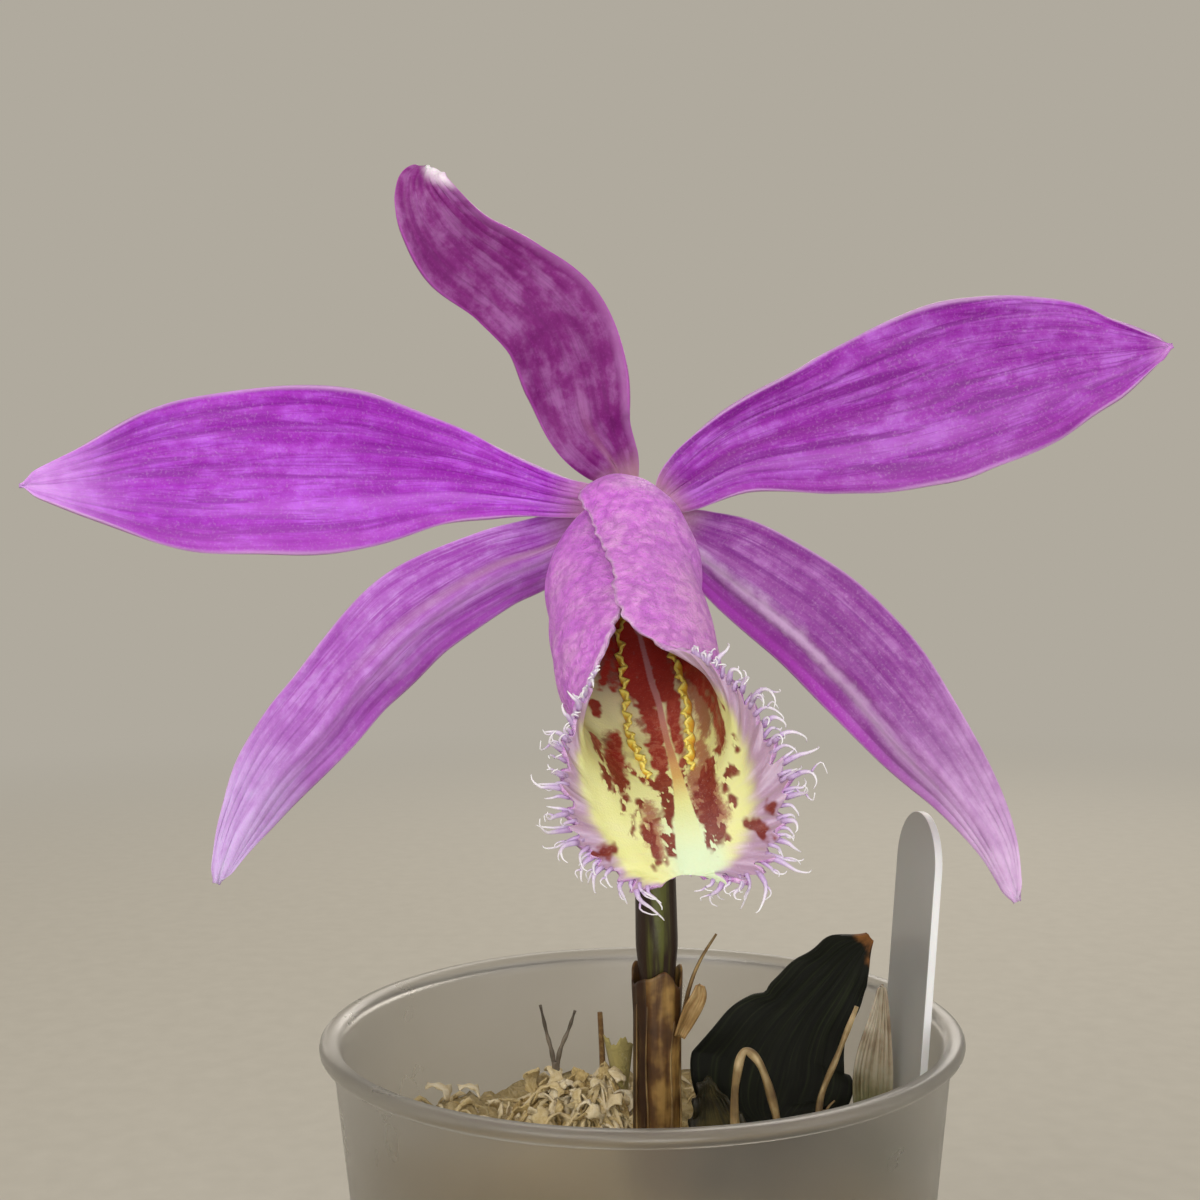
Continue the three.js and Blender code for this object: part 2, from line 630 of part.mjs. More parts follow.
const ovaryLine = through([
  [1.2, 5.85, -16.6],
  [1, 6, -11],
  [0.7, 5.2, -5],
  [0.3, 3.6, -0.8],
  [0.1, 2.2, 0.1],
  [0, 1, 0.3],
]);
const ribbed = (t, angle) => (
  1.7 + 0.5 * Math.sin(3 * t) + 0.5 * THREE.MathUtils.smoothstep(t, 0.88, 1)
) * (1 + 0.07 * Math.cos(3 * angle));
place(flower, 'ovary', rod(ovaryLine, ribbed, 12, 9), 0x5a4030, 0.55);

const columnLine = through([
  [0, 0.3, 0.1],
  [-0.1, -3, -0.7],
  [-0.5, -8, -3],
  [-0.9, -12.5, -5.6],
]);
place(flower, 'column', rod(columnLine, (t) => 1.1 + 0.65 * t, 10, 8), 0xc890c8, 0.5);

place(flower, 'lip', lipGeometry(), 0xd8c0a8, 0.55);
place(flower, 'keel_left', keelGeometry(KEEL_LEFT), 0xe8c040, 0.5);
place(flower, 'keel_right', keelGeometry(KEEL_RIGHT), 0xe8c040, 0.5);

const tepals = [
  ['dorsal_sepal', DORSAL_SEPAL, { cup: 0.16, wave: 0.35, waves: 2.5 }, 0x84308c],
  ['petal_left', PETAL_LEFT, { cup: 0.12, wave: 0.5, waves: 3, twist: 1 }, 0xa838b8],
  ['petal_right', PETAL_RIGHT, { cup: 0.12, wave: 0.5, waves: 3 }, 0xb040c8],
  ['lateral_sepal_left', LATERAL_LEFT, { fold: 0.6, foldAt: 0.25, wave: 0.4, waves: 3 }, 0xb060c0],
  ['lateral_sepal_right', LATERAL_RIGHT, { fold: 0.6, foldAt: -0.25, wave: 0.3, waves: 3 }, 0xb060c0],
];
tepals.forEach(([name, stations, form, color]) => {
  place(flower, name, sheet(18, 8, tepalSurface(stations, form), TEPAL_THICKNESS), color, 0.55);
});

const leafStations = [
  [0, 0, 46, 2, 2, 0],
  [-0.1, 0.4, 47.9, 7.4, 6.6, 0],
  [0.6, 1, 50.5, 8.9, 7.9, 0],
  [1.6, 1.8, 53.3, 7, 7.2, 0],
  [3.6, 2.8, 56.2, 5, 5.5, 0],
  [6.6, 3.8, 59.5, 3.9, 4.1, 0],
  [8.6, 4.6, 61.6, 3, 3, 0],
  [11, 5.6, 63.6, 0.6, 0.6, 0],
];
const leaf = tepalSurface(leafStations, { cup: 0.1, wave: 0.3 });
const bulb = new THREE.LatheGeometry(BULB_PROFILE.map(([x, y]) => new THREE.Vector2(x, y)), BULB_SIDES);
bulb.rotateX(Math.PI / 2);
place(shoot, 'pseudobulb', bulb, 0x30301c, 0.6);
place(shoot, 'leaf', sheet(14, 8, leaf, 0.8), 0x242a18, 0.5);

const withered = tepalSurface(witheredStations, { cup: 0.3 });
place(plant, 'withered_sheath', sheet(10, 4, withered, 0.7), 0xc8b890, 0.8);
place(plant, 'dead_root_loop', rod(rootLoop, () => 0.42, 6, 16), 0x907040, 0.8);
place(plant, 'brown_strand', rod(brownStrand, (t) => 0.4 - 0.12 * t, 6, 12), 0x7a5430, 0.8);
place(plant, 'dead_twig', twigGeometry(), 0x50483a, 0.8);
const label = place(plant, 'plant_label', labelGeometry(0), 0xa8aaac, 0.4);
label.position.copy(labelSeat.position);
label.rotation.copy(labelSeat.rotation);

export default plant;
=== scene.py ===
# %% [markdown]
# # A potted pleione orchid in flower
# The plant is a small bulb orchid in a frosted plastic pot: one dark stem, one flower with five
# spreading tepals and a fringed lip, and an old dark leaf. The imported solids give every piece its
# place. Each cell below swaps one of them for a finer piece of the same form, and gives it its
# finish. Tables are in millimetres and turned to metres when a piece is finished.

import math
import random

import bmesh
import bpy
import numpy as np
from mathutils import Matrix, Vector


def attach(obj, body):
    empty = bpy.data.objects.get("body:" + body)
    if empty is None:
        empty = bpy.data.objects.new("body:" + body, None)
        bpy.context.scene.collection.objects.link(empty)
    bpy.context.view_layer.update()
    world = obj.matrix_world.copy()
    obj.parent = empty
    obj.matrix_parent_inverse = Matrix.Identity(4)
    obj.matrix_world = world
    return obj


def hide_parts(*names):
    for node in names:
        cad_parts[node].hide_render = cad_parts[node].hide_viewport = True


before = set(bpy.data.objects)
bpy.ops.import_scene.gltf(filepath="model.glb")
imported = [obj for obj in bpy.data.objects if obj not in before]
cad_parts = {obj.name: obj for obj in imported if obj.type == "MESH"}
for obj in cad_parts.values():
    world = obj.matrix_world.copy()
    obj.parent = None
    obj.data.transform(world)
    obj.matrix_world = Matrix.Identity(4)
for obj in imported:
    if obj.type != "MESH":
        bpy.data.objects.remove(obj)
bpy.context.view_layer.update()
MM = 0.001
print("nodes in the frame:", len(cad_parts))

# %% [markdown]
# ## Small tools
# A colour is written as the hex value a painter would pick on a screen, and one function turns it
# to the linear numbers that Blender works with. Another adds one node to a material with its
# settings and links, and hands back the socket that the next node needs. Finishes are built up
# like paint, layer over layer, and then closed with their relief and their surface.

# %% Colour and node tools
def paint(code):
    channels = [int(code[i:i + 2], 16) / 255 for i in (1, 3, 5)]
    linear = [c / 12.92 if c <= 0.04045 else ((c + 0.055) / 1.055) ** 2.4 for c in channels]
    return (*linear, 1.0)


def node(tree, kind, links=None, out=0, stops=None, **settings):
    """One node: a link is a socket, a number or the code of a colour; stops are a ramp's."""
    made = tree.nodes.new("ShaderNode" + kind)
    for name, value in settings.items():
        setattr(made, name, value)
    for name, value in (links or {}).items():
        if isinstance(value, bpy.types.NodeSocket):
            tree.links.new(value, made.inputs[name])
        else:
            made.inputs[name].default_value = paint(value) if isinstance(value, str) else value
    if stops:
        ramp = made.color_ramp.elements
        while len(ramp) < len(stops):
            ramp.new(0.5)
        for element, (position, colour) in zip(ramp, stops):
            element.position = position
            element.color = paint(colour)
    return made.outputs[out] if len(made.outputs) else made


def blank_finish(name):
    """An empty material, its tree and the socket with the place of a point on its piece."""
    made = bpy.data.materials.new(name)
    made.use_nodes = True
    made.node_tree.nodes.clear()
    return made, made.node_tree, node(made.node_tree, "TexCoord", out="Object")


SOFT = {"interpolation_type": "SMOOTHSTEP"}
TIMES, TIMES_PLUS = {"operation": "MULTIPLY"}, {"operation": "MULTIPLY_ADD"}
PER_MM = 1 / MM


def layer(tree, under, over, share, low=None, high=None, most=1.0, least=0.0):
    """Lays one colour over another by a share, or by how far a value has gone from low to high."""
    if low is not None:
        share = node(tree, "MapRange", {0: share, 1: low, 2: high, 3: least, 4: most}, **SOFT)
    return node(tree, "Mix", {0: share, 6: under, 7: over}, data_type="RGBA", out=2)


def close_finish(tree, colour, rough, height, strength, depth, ior=1.4, flesh=(), more=None):
    """Ends a finish with its relief, depth mm deep, and its surface. Flesh tells how light
    spreads below it: its weight, its reach in mm and, where it isn't the usual one, its tint."""
    relief = node(tree, "Bump", {"Strength": strength, "Distance": depth * MM, "Height": height})
    flesh = [flesh[0], flesh[1] * MM, *flesh[2:]] if flesh else []
    below = dict(zip(("Subsurface Weight", "Subsurface Scale", "Subsurface Radius"), flesh))
    shader = node(tree, "BsdfPrincipled", {"Base Color": colour, "Roughness": rough,
                                           "Normal": relief, "IOR": ior, **below, **(more or {})})
    node(tree, "OutputMaterial", {"Surface": shader})


print("orchid purple in linear light:", [round(c, 3) for c in paint("#A838B8")[:3]])

# %% [markdown]
# Most of the plant is thin sheets and thin rods. A sheet is a flat grid whose points are laid on a
# surface; a rod is a grid rolled up round a line and closed at its seam and ends. Both keep the
# grid's own UV map, so a pattern can follow the veins. The lines are the same smooth curves through
# the same points as in the solids, so the finer pieces keep their form. Where a piece is one
# sheet, or nothing but rods, one call makes it.

# %% Lines, sheets and rods
def through(points):
    knots = np.array(points, float)
    last = len(knots) - 1
    knots = np.vstack([2 * knots[0] - knots[1], knots, 2 * knots[-1] - knots[-2]])

    def at(t):
        run = np.clip(np.asarray(t, float), 0, 1) * last
        k = np.minimum(run.astype(int), last - 1)
        w = (run - k)[..., None]
        a, b, c, d = (knots[k + i] for i in range(4))
        bend = (2 * a - 5 * b + 4 * c - d) + w * (3 * b - a - 3 * c + d)
        return b + 0.5 * w * ((c - a) + w * bend)
    return at


def unit(vectors):
    return vectors / np.linalg.norm(vectors, axis=-1, keepdims=True)


def ease(x, low, high):
    t = np.clip((x - low) / (high - low), 0, 1)
    return t * t * (3 - 2 * t)


def swell(a, b, seed, waves=6):
    """A lasting, random-looking swell: sine waves that cross at seeded angles, near -1 to 1."""
    draw = random.Random(seed)
    total = 0
    for _ in range(waves):
        turn, pitch = draw.uniform(0, math.tau), draw.uniform(0.6, 1.7)
        shift = draw.uniform(0, math.tau)
        total = total + np.sin(pitch * (a * math.cos(turn) + b * math.sin(turn)) + shift)
    return total / math.sqrt(waves)


def face_of(surface, u, v):
    """The way in which the front of a surface looks."""
    along = surface(np.minimum(u + 0.01, 1), v) - surface(np.maximum(u - 0.01, 0), v)
    across = surface(u, v + 0.01) - surface(u, v - 0.01)
    return unit(np.cross(along, across))


def new_mesh(fields=()):
    """An empty bmesh with a UV map and named values for its points."""
    mesh = bmesh.new()
    mesh.loops.layers.uv.new("UVMap")
    for name in fields:
        mesh.verts.layers.float.new(name)
    return mesh


def write_field(mesh, name, points, values):
    layer = mesh.verts.layers.float[name]
    for point, value in zip(points, values):
        point[layer] = value


def sheet(mesh, columns, rows, place):
    """Adds a grid with its front towards the viewer and lays it on place(u, v), in millimetres."""
    start = bmesh.ops.create_grid(mesh, x_segments=columns, y_segments=rows, size=1, calc_uvs=True)
    points = start["verts"]
    flat = np.array([p.co[:2] for p in points])
    u, v = (flat[:, 1] + 1) / 2, flat[:, 0]
    for point, spot in zip(points, place(u, v) * MM):
        point.co = spot
    bmesh.ops.reverse_faces(mesh, faces=list({f for p in points for f in p.link_faces}))
    return points, u, v


ROD_REFERENCE = unit(np.array([0.3, 1, 0.15]))


def rod(mesh, line, radius, sides=8, rows=10, tone=0.5):
    """Adds a closed rod along a line. radius(t, angle) may swell and rib it."""
    part = new_mesh(["tone"])
    start = bmesh.ops.create_grid(part, x_segments=sides, y_segments=rows, size=1, calc_uvs=True)
    points = start["verts"]
    flat = np.array([p.co[:2] for p in points])
    t, angle = (flat[:, 1] + 1) / 2, math.pi * (flat[:, 0] + 1)
    tangent = unit(line(t + 0.004) - line(t - 0.004))
    side = unit(np.cross(tangent, ROD_REFERENCE))
    up = np.cross(side, tangent)
    spread = (radius(t, angle) * np.ones_like(t))[:, None]
    spots = line(t) + spread * (side * np.cos(angle)[:, None] + up * np.sin(angle)[:, None])
    for point, spot in zip(points, spots * MM):
        point.co = spot
    write_field(part, "tone", points, [tone] * len(points))
    seam = [p for p, x in zip(points, flat[:, 0]) if abs(x) > 0.999]
    bmesh.ops.remove_doubles(part, verts=seam, dist=1e-7)
    bmesh.ops.holes_fill(part, edges=[e for e in part.edges if e.is_boundary], sides=0)
    data = bpy.data.meshes.new("rod")
    part.to_mesh(data)
    part.free()
    mesh.from_mesh(data)
    bpy.data.meshes.remove(data)


def settle(mesh, name, finishes, replaces=(), closed=False):
    """Turns a bmesh into a smooth piece that rides on the plant."""
    if closed:
        bmesh.ops.recalc_face_normals(mesh, faces=mesh.faces)
    data = bpy.data.meshes.new(name)
    mesh.to_mesh(data)
    mesh.free()
    data.shade_smooth()
    piece = bpy.data.objects.new(name, data)
    bpy.context.scene.collection.objects.link(piece)
    for finish in finishes:
        data.materials.append(finish)
    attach(piece, "root")
    if replaces:
        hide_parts(*replaces)
    size = [round(s * PER_MM, 1) for s in piece.dimensions]
    print(f"{name}: {len(data.polygons)} faces, {size} mm")
    return piece


def thicken(piece, thickness, offset=0, skin=0):
    """Gives a sheet its wall; its new faces take the finish that comes skin places later."""
    wall = piece.modifiers.new("wall", "SOLIDIFY")
    wall.thickness = thickness * MM
    wall.offset = offset
    wall.material_offset = wall.material_offset_rim = skin
    wall.use_quality_normals = True


def lay_sheet(name, place, columns, rows, wall, finish, replaces=()):
    """A piece that is one sheet with a wall."""
    mesh = new_mesh()
    sheet(mesh, columns, rows, place)
    thicken(settle(mesh, name, [finish], replaces), wall)


def lay_rods(name, rods, finish, replaces=()):
    """A piece that is one or more closed rods, each with its points, radius, sides and rows."""
    mesh = new_mesh()
    for points, radius, sides, rows in rods:
        rod(mesh, through(points), radius, sides=sides, rows=rows)
    settle(mesh, name, [finish], replaces, closed=True)


# %% [markdown]
# ## Room, light and camera
# The floor is one pale disc that fades into the grey of the room with its distance, so no horizon
# cuts through the picture. A large soft lamp stands to the upper left and in front, a smaller one
# straight in front fills the mouth of the lip, a weak one stands to the right, and one behind lets
# the thin petals glow a little. The camera stands 155 mm in front of the stem at about the height
# of the flower's lip, tipped down and rolled by about a degree.

# %% Floor and room
ROOM = paint("#B0AA9E")
FADE_FROM, FADE_TO, FLOOR_REACH = 0.2, 0.85, 3
world = bpy.data.worlds.new("studio_room")
bpy.context.scene.world = world
world.use_nodes = True
world.node_tree.nodes["Background"].inputs["Color"].default_value = ROOM
world.node_tree.nodes["Background"].inputs["Strength"].default_value = 1.0

studio_floor, tree, spot = blank_finish("pale_studio_card")
distance = node(tree, "VectorMath", {0: spot}, out="Value", operation="LENGTH")
fade = node(tree, "MapRange", {0: distance, 1: FADE_FROM, 2: FADE_TO}, **SOFT)
fibre = node(tree, "TexNoise", {"Vector": spot, "Scale": 0.2 * PER_MM, "Detail": 3.0})
card = layer(tree, "#C9C5BB", "#BDB9AF", fibre)
lit = node(tree, "BsdfPrincipled", {"Base Color": card, "Roughness": 0.8})
glow = node(tree, "Emission", {"Color": ROOM, "Strength": 1.0})
floor_mix = node(tree, "MixShader", {0: fade, 1: lit, 2: glow})
node(tree, "OutputMaterial", {"Surface": floor_mix})

mesh = bmesh.new()
bmesh.ops.create_circle(mesh, cap_ends=True, segments=96, radius=FLOOR_REACH)
data = bpy.data.meshes.new("studio_floor")
mesh.to_mesh(data)
mesh.free()
data.materials.append(studio_floor)
floor_disc = bpy.data.objects.new("studio_floor", data)
bpy.context.scene.collection.objects.link(floor_disc)
print("floor disc:", [round(s, 2) for s in floor_disc.dimensions], "m")

# %% Lamps
TARGET = Vector((0, 0, 0.085))


def softbox(name, place, size, power, colour):
    lamp = bpy.data.lights.new(name, "AREA")
    lamp.shape = "DISK"
    lamp.size = size
    lamp.energy = power
    lamp.color = paint(colour)[:3]
    holder = bpy.data.objects.new(name, lamp)
    holder.location = place
    holder.rotation_euler = (TARGET - Vector(place)).to_track_quat("-Z", "Y").to_euler()
    bpy.context.scene.collection.objects.link(holder)
    print(name, power, "W")


softbox("key_softbox", (-0.30, -0.50, 0.50), 0.45, 1.9, "#FFFCF8")
softbox("front_softbox", (0.04, -0.55, 0.16), 0.30, 1.1, "#FFFFFF")
softbox("fill_softbox", (0.55, -0.35, 0.25), 0.40, 0.5, "#F4F6FF")
softbox("back_softbox", (0.15, 0.60, 0.45), 0.50, 1.4, "#FFF8F0")
bpy.context.scene.view_settings.view_transform = "Standard"

# %% Camera
EYE = Vector((-3.5, -155.5, 102.8)) * MM
TIP_DOWN = math.radians(1.3)
ROLL = math.radians(0.67)
right = Vector((1, 0, 0))
raised = Vector((0, math.sin(TIP_DOWN), math.cos(TIP_DOWN)))
ahead = Vector((0, math.cos(TIP_DOWN), -math.sin(TIP_DOWN)))
axis_x = right * math.cos(ROLL) - raised * math.sin(ROLL)
axis_y = right * math.sin(ROLL) + raised * math.cos(ROLL)
lens = bpy.data.cameras.new("photo_camera")
lens.sensor_fit = "HORIZONTAL"
lens.sensor_width = 36
lens.lens = 48
lens.clip_start = 0.005
camera = bpy.data.objects.new("photo_camera", lens)
turned = Matrix((axis_x, axis_y, -ahead)).transposed().to_4x4()
camera.matrix_world = Matrix.Translation(EYE) @ turned
bpy.context.scene.collection.objects.link(camera)
bpy.context.scene.camera = camera
print("camera at", [round(c * PER_MM, 1) for c in EYE], "mm")

# %% [markdown]
# ## Tepals
# A tepal is living tissue less than half a millimetre thick, with sap-coloured cells that sparkle,
# lengthwise veins that meet at both ends, and thin pale margins. It could be a flat card with a
# painted picture, but its cupped and waved form catches the light, so each one is a fine curved
# sheet on the surface of its solid, with a real wall. The veins follow the sheet's UV map: across
# it runs from margin to margin, along it from base to tip.

# %% Finish of the tepals
def petal_tissue(name, deep, body, light, base, tip, seed, rib, rib_reach, tip_from=0.8,
                 ridge=(0, "#C080CC", 0, 0), flank="#B030C0", hem="#D6B4DC", veining=0.8,
                 tip_highlight_skew=0.0):
    """Orchid petal, grown: soft sap colour in cloudy patches with darker veins and a fine net of
    side veins, a thin pale margin, and pale flecks on its domed cells, drawn 0.25 mm wide so
    that they show: painted glints for their sparkle. A folded sepal has a pale band at ridge[0]
    of the way out from its rib, which drifts by ridge[3] to its tip: a painted highlight along
    its fold. Its tip is paler too; tip_highlight_skew moves that pallor towards one margin as a
    painted highlight where the tip curls over."""
    made, tree, spot = blank_finish(name)
    uv = node(tree, "UVMap", uv_map="UVMap")
    across, along = (node(tree, "SeparateXYZ", {0: uv}, out=axis) for axis in (0, 1))
    centred = node(tree, "Math", {0: across, 1: 2.0, 2: -1.0}, **TIMES_PLUS)
    out_from_rib = node(tree, "Math", {0: centred}, operation="ABSOLUTE")

    clouds, vein_noise, side_veins = (
        node(tree, "TexNoise", {
            "Vector": node(tree, "Mapping", {0: uv, "Location": start, "Scale": scale}),
            "Scale": 1.0, "Detail": detail, "Distortion": bent})
        for start, scale, detail, bent in (((seed, seed * 2, 0), (5, 8.5, 1), 5, 0.4),
                                           ((seed * 3, seed, 0), (14, 3.4, 1), 6, 1),
                                           ((seed, 0, 0), (30, 9, 1), 3, 1.5)))
    mottle, cells = (
        node(tree, "TexNoise", {"Vector": spot, "Scale": PER_MM / wide, "Detail": detail,
                                "Roughness": rough})
        for wide, detail, rough in ((1.6, 5, 0.65), (0.25, 2, 0.6)))
    patchy = node(tree, "Math", {0: mottle, 1: 0.75, 2: clouds}, **TIMES_PLUS)
    colour = layer(tree, body, light, patchy, 0.78, 1.12)
    colour = layer(tree, colour, deep, patchy, 0.84, 0.62, 0.55)
    colour = layer(tree, colour, deep, vein_noise, 0.52, 0.36, veining)
    colour = layer(tree, colour, deep, side_veins, 0.48, 0.36, 0.6 * veining)

    rib_band = node(tree, "MapRange", {0: out_from_rib, 1: 0.2, 2: 0.02}, **SOFT)
    rib_run = node(tree, "MapRange", {0: along, 1: rib_reach, 2: 0.0, 4: 0.85}, **SOFT)
    rib_share = node(tree, "Math", {0: rib_band, 1: rib_run}, **TIMES)
    colour = layer(tree, colour, rib, rib_share)

    # The pale band along a ridge: on the folded lateral sepals it is a painted highlight along the
    # fold.
    course = node(tree, "Math", {0: along, 1: ridge[3], 2: ridge[0]}, **TIMES_PLUS)
    off_ridge = node(tree, "Math", {0: centred, 1: course}, operation="SUBTRACT")
    from_ridge = node(tree, "Math", {0: off_ridge}, operation="ABSOLUTE")
    frayed = node(tree, "Math", {0: mottle, 1: 0.3, 2: from_ridge}, **TIMES_PLUS)
    ridge_band = node(tree, "MapRange", {0: frayed, 1: 0.34, 2: 0.14, 4: ridge[2]}, **SOFT)
    ridge_fade = node(tree, "MapRange", {0: along, 1: 0.3, 2: 0.8, 3: 1.0, 4: 0.35}, **SOFT)
    ridge_share = node(tree, "Math", {0: ridge_band, 1: ridge_fade}, **TIMES)
    colour = layer(tree, colour, ridge[1], ridge_share)
    outer = node(tree, "Math", {0: off_ridge, 1: math.copysign(1, ridge[0])}, **TIMES)
    colour = layer(tree, colour, flank, outer, 0.15, 0.45, ridge[2])

    colour = layer(tree, colour, base, along, 0.15, 0.02, 0.8)
    # The skew pulls the pale tip towards one margin: a painted highlight where the tip curls over.
    skewed = node(tree, "Math", {0: centred, 1: -tip_highlight_skew, 2: along}, **TIMES_PLUS)
    end = node(tree, "MapRange", {0: skewed, 1: tip_from, 2: 1.0}, **SOFT)
    end_share = node(tree, "Math", {0: end, 1: patchy}, **TIMES)
    colour = layer(tree, colour, tip, end_share)

    # Pale flecks on the cells: painted glints, the sparkle of the domed cells.
    colour = layer(tree, colour, hem, cells, 0.5, 0.8, 0.2)
    colour = layer(tree, colour, hem, out_from_rib, 0.94, 1.0, 0.6)

    rough = node(tree, "MapRange", {0: cells, 1: 0.3, 2: 0.7, 3: 0.5, 4: 0.36})
    crease = node(tree, "Math", {0: vein_noise, 1: 1.8 * veining}, **TIMES)
    crease = node(tree, "Math", {0: mottle, 1: 0.8, 2: crease}, **TIMES_PLUS)
    height = node(tree, "Math", {0: cells, 1: 0.45, 2: crease}, **TIMES_PLUS)
    close_finish(tree, colour, rough, height, 0.5, 0.12, 1.36, (0.25, 0.6, (1.0, 0.4, 0.9)),
                 {"Sheen Weight": 0.03, "Sheen Roughness": 0.4})
    return made


# %% The surface of a tepal
FLOWER = np.array([0, -4, 108])


def tepal_surface(stations, origin, cup=0.0, fold=0.0, fold_at=0.0, wave=0.0, waves=5, twist=0.0):
    """Back face: a midrib line with half widths and roll, cupped, folded and waved."""
    line = through(stations)

    def place(u, v):
        station = line(u)
        along = unit((line(u + 0.004) - line(u - 0.004))[..., :3])
        side = unit(np.cross(np.array([0, -1, 0]), along))
        face = unit(np.cross(along, side))
        turn = np.radians(station[..., 5])[..., None]
        side, face = (side * np.cos(turn) + face * np.sin(turn),
                      face * np.cos(turn) - side * np.sin(turn))
        half = np.maximum(np.where(v > 0, station[..., 3], station[..., 4]), 0.4)
        ruffle = wave * np.sin(waves * math.tau * u + 2.1 * v + twist) * v * v * np.abs(v)
        ridge = -fold * half * np.maximum(0, v * np.sign(fold_at) - abs(fold_at))
        rise = cup * half * v * v + ridge + ruffle * np.minimum(1, half / 4)
        spot = station[..., :3] + side * (half * v)[..., None] + face * rise[..., None]
        return spot + origin
    return place


def fine_tepal(surface, length, seed, depth=0.4, furrow=0.22):
    """The same surface at mid wall, with a sunk midrib, faint vein furrows and small crinkles."""
    def place(u, v):
        lift = depth - furrow * np.exp(-(v / 0.07) ** 2) * (1 - 0.6 * u)
        lift = lift + 0.05 * np.cos(9 * math.pi * v) * ease(u, 0.02, 0.2) * (1 - ease(u, 0.8, 1))
        calm = 1 - 0.5 * ease(abs(v), 0.75, 1)
        lift = lift + 0.13 * swell(u * length / 2.4, v * 3.2, seed) * calm
        notch = 1 + 0.010 * swell(u * length / 1.1, np.sign(v) * 5, seed + 9) * np.abs(v)
        notch = notch + 0.022 * swell(u * length / 3.5, np.sign(v) * 5, seed + 19) * np.abs(v)
        notch = notch * (1 - 0.9 * ease(u, 0.955, 1) ** 3)
        return surface(u, v * notch) + face_of(surface, u, v) * lift[..., None]
    return place


# %% Petals and sepals
LIVING_WALL = 0.42
PETAL_RIGHT = [
    [2.3, -1.8, 0.4, 1.2, 1.2, 0], [4.6, -2.6, 2.2, 2.6, 2.6, 4], [9.8, -3, 5.2, 4.2, 4.2, 6],
    [17.6, -2, 7.4, 6.5, 6.5, 6], [24.5, -2, 9.1, 7.9, 7.9, 4], [31.4, -2.5, 11.1, 8, 8, 2],
    [38.5, -4, 12.8, 5.9, 6.7, 0], [43.8, -5.5, 13.3, 3.2, 4.3, -2], [48.3, -7, 13.8, 0.5, 0.5, -2],
]
PETAL_LEFT = [
    [-2.7, -1.8, 0.4, 1.2, 1.2, 0], [-7.3, -3, 1.1, 2, 2, -4], [-12.5, -3, 2.3, 3.3, 3.3, -6],
    [-18.2, -2.5, 3.3, 4.9, 4.9, -6], [-25.2, -2, 3.7, 7.2, 7.2, -4],
    [-32.3, -2, 3.7, 7.9, 7.9, -2], [-39.1, -2.5, 3.5, 7.5, 7.5, 0], [-44.8, -4, 3.2, 6, 6, 2],
    [-50.5, -5.7, 2.7, 3.3, 3.3, 2], [-55.7, -7, 2.4, 0.5, 0.5, 2],
]
DORSAL_SEPAL = [
    [-0.7, -0.2, 1.8, 1.1, 1.1, 0], [-2.2, -0.8, 4.3, 2.6, 2.6, 0], [-4.5, -2.5, 7.6, 3.9, 4.2, 0],
    [-5.6, -4, 12.1, 4.8, 5, 0], [-7.6, -6, 16.7, 4.9, 4.9, 0], [-11.2, -8, 20.2, 4.7, 4, 0],
    [-14.9, -10.5, 23, 5, 3.2, 0], [-17.2, -12.4, 25.5, 4, 2.7, 0],
    [-18.2, -12.8, 27.6, 2.4, 2, 0], [-18, -11.8, 29.1, 0.8, 0.9, 0],
]
LATERAL_LEFT = [
    [-2.6, -0.1, -0.8, 1.2, 1.2, 0], [-8.3, -1.2, -3.6, 2.9, 2.9, 0],
    [-13.7, -3, -5.5, 3.9, 3.7, 0], [-20.5, -5, -9.6, 4.2, 4.3, 0],
    [-25.6, -6, -14.4, 4.2, 4.1, 0], [-29.4, -7, -19, 4, 3.9, 0], [-33.2, -8, -23.5, 3.2, 3.1, 0],
    [-35.8, -9.5, -28, 2.2, 2, 0], [-37.6, -11, -33, 0.5, 0.5, 0],
]
LATERAL_RIGHT = [
    [2.1, -0.1, -1, 1.2, 1.2, 0], [5.7, -0.6, -3.1, 2.9, 2.9, 0], [9.7, -2.4, -5.6, 4.3, 4.3, 0],
    [15.9, -5, -10.2, 4.9, 4.9, 0], [21, -6, -15.3, 4.9, 5, 0], [25.3, -7, -20.7, 4.1, 4.2, 0],
    [28.9, -8, -25.7, 2.9, 2.8, 0], [31.6, -9.3, -30.4, 1.8, 1.7, 0],
    [33.2, -10.5, -35.5, 0.5, 0.5, 0],
]
right_tissue = petal_tissue("petal_tissue_right", "#7C0C8C", "#9C28B0", "#B45ED0", "#C89CA8",
                            "#CC88D8", 1.7, "#861090", 0.75, 0.93,
                            (-0.45, "#BE74D4", 0.4, 0), "#A644B2")
left_tissue = petal_tissue("petal_tissue_left", "#8C12A4", "#A82CC4", "#C05AE6", "#D8A8B8",
                           "#DCA0F4", 4.1, "#9C1CB4", 0.6, 0.78,
                           (0.45, "#CC78EC", 0.4, 0), "#B450C4")
# Painted darker than the petals, partly as the shade on its face, which leans forward over the
# flower away from the light above; its near-white tip, pushed to one margin, is a painted highlight
# where it curls over.
dorsal_tissue_with_shade = petal_tissue("dorsal_sepal_tissue_with_shade", "#680C64", "#821E7C", "#A260A4", "#C098A0",
                             "#F6ECF8", 7.3, "#B07898", 0.35, 0.89,
                             (-0.98, "#C88CCC", 0.4, 0), "#C8A0CC", "#B858BC", 0.3,
                             tip_highlight_skew=0.11)
# On both lateral sepals the pale band along the fold is a painted highlight where the fold catches
# the light.
lateral_left_tissue = petal_tissue("lateral_sepal_tissue_left", "#9834AC", "#B05EC6", "#C88CE0",
                                   "#C8A0B4", "#D2B6EA", 2.9, "#B488A8", 0.7, 0.55,
                                   (0.25, "#D0A8DC", 0.4, 0.2), "#AC50BC")
lateral_right_tissue = petal_tissue("lateral_sepal_tissue_right", "#7A2488", "#8E3A98", "#AC6CB8",
                                    "#C8A0A8", "#D8B8E0", 5.6, "#A860B0", 0.5, 0.5,
                                    (-0.2, "#DCC0E4", 0.85, -0.5), "#B442C2", veining=0.5)
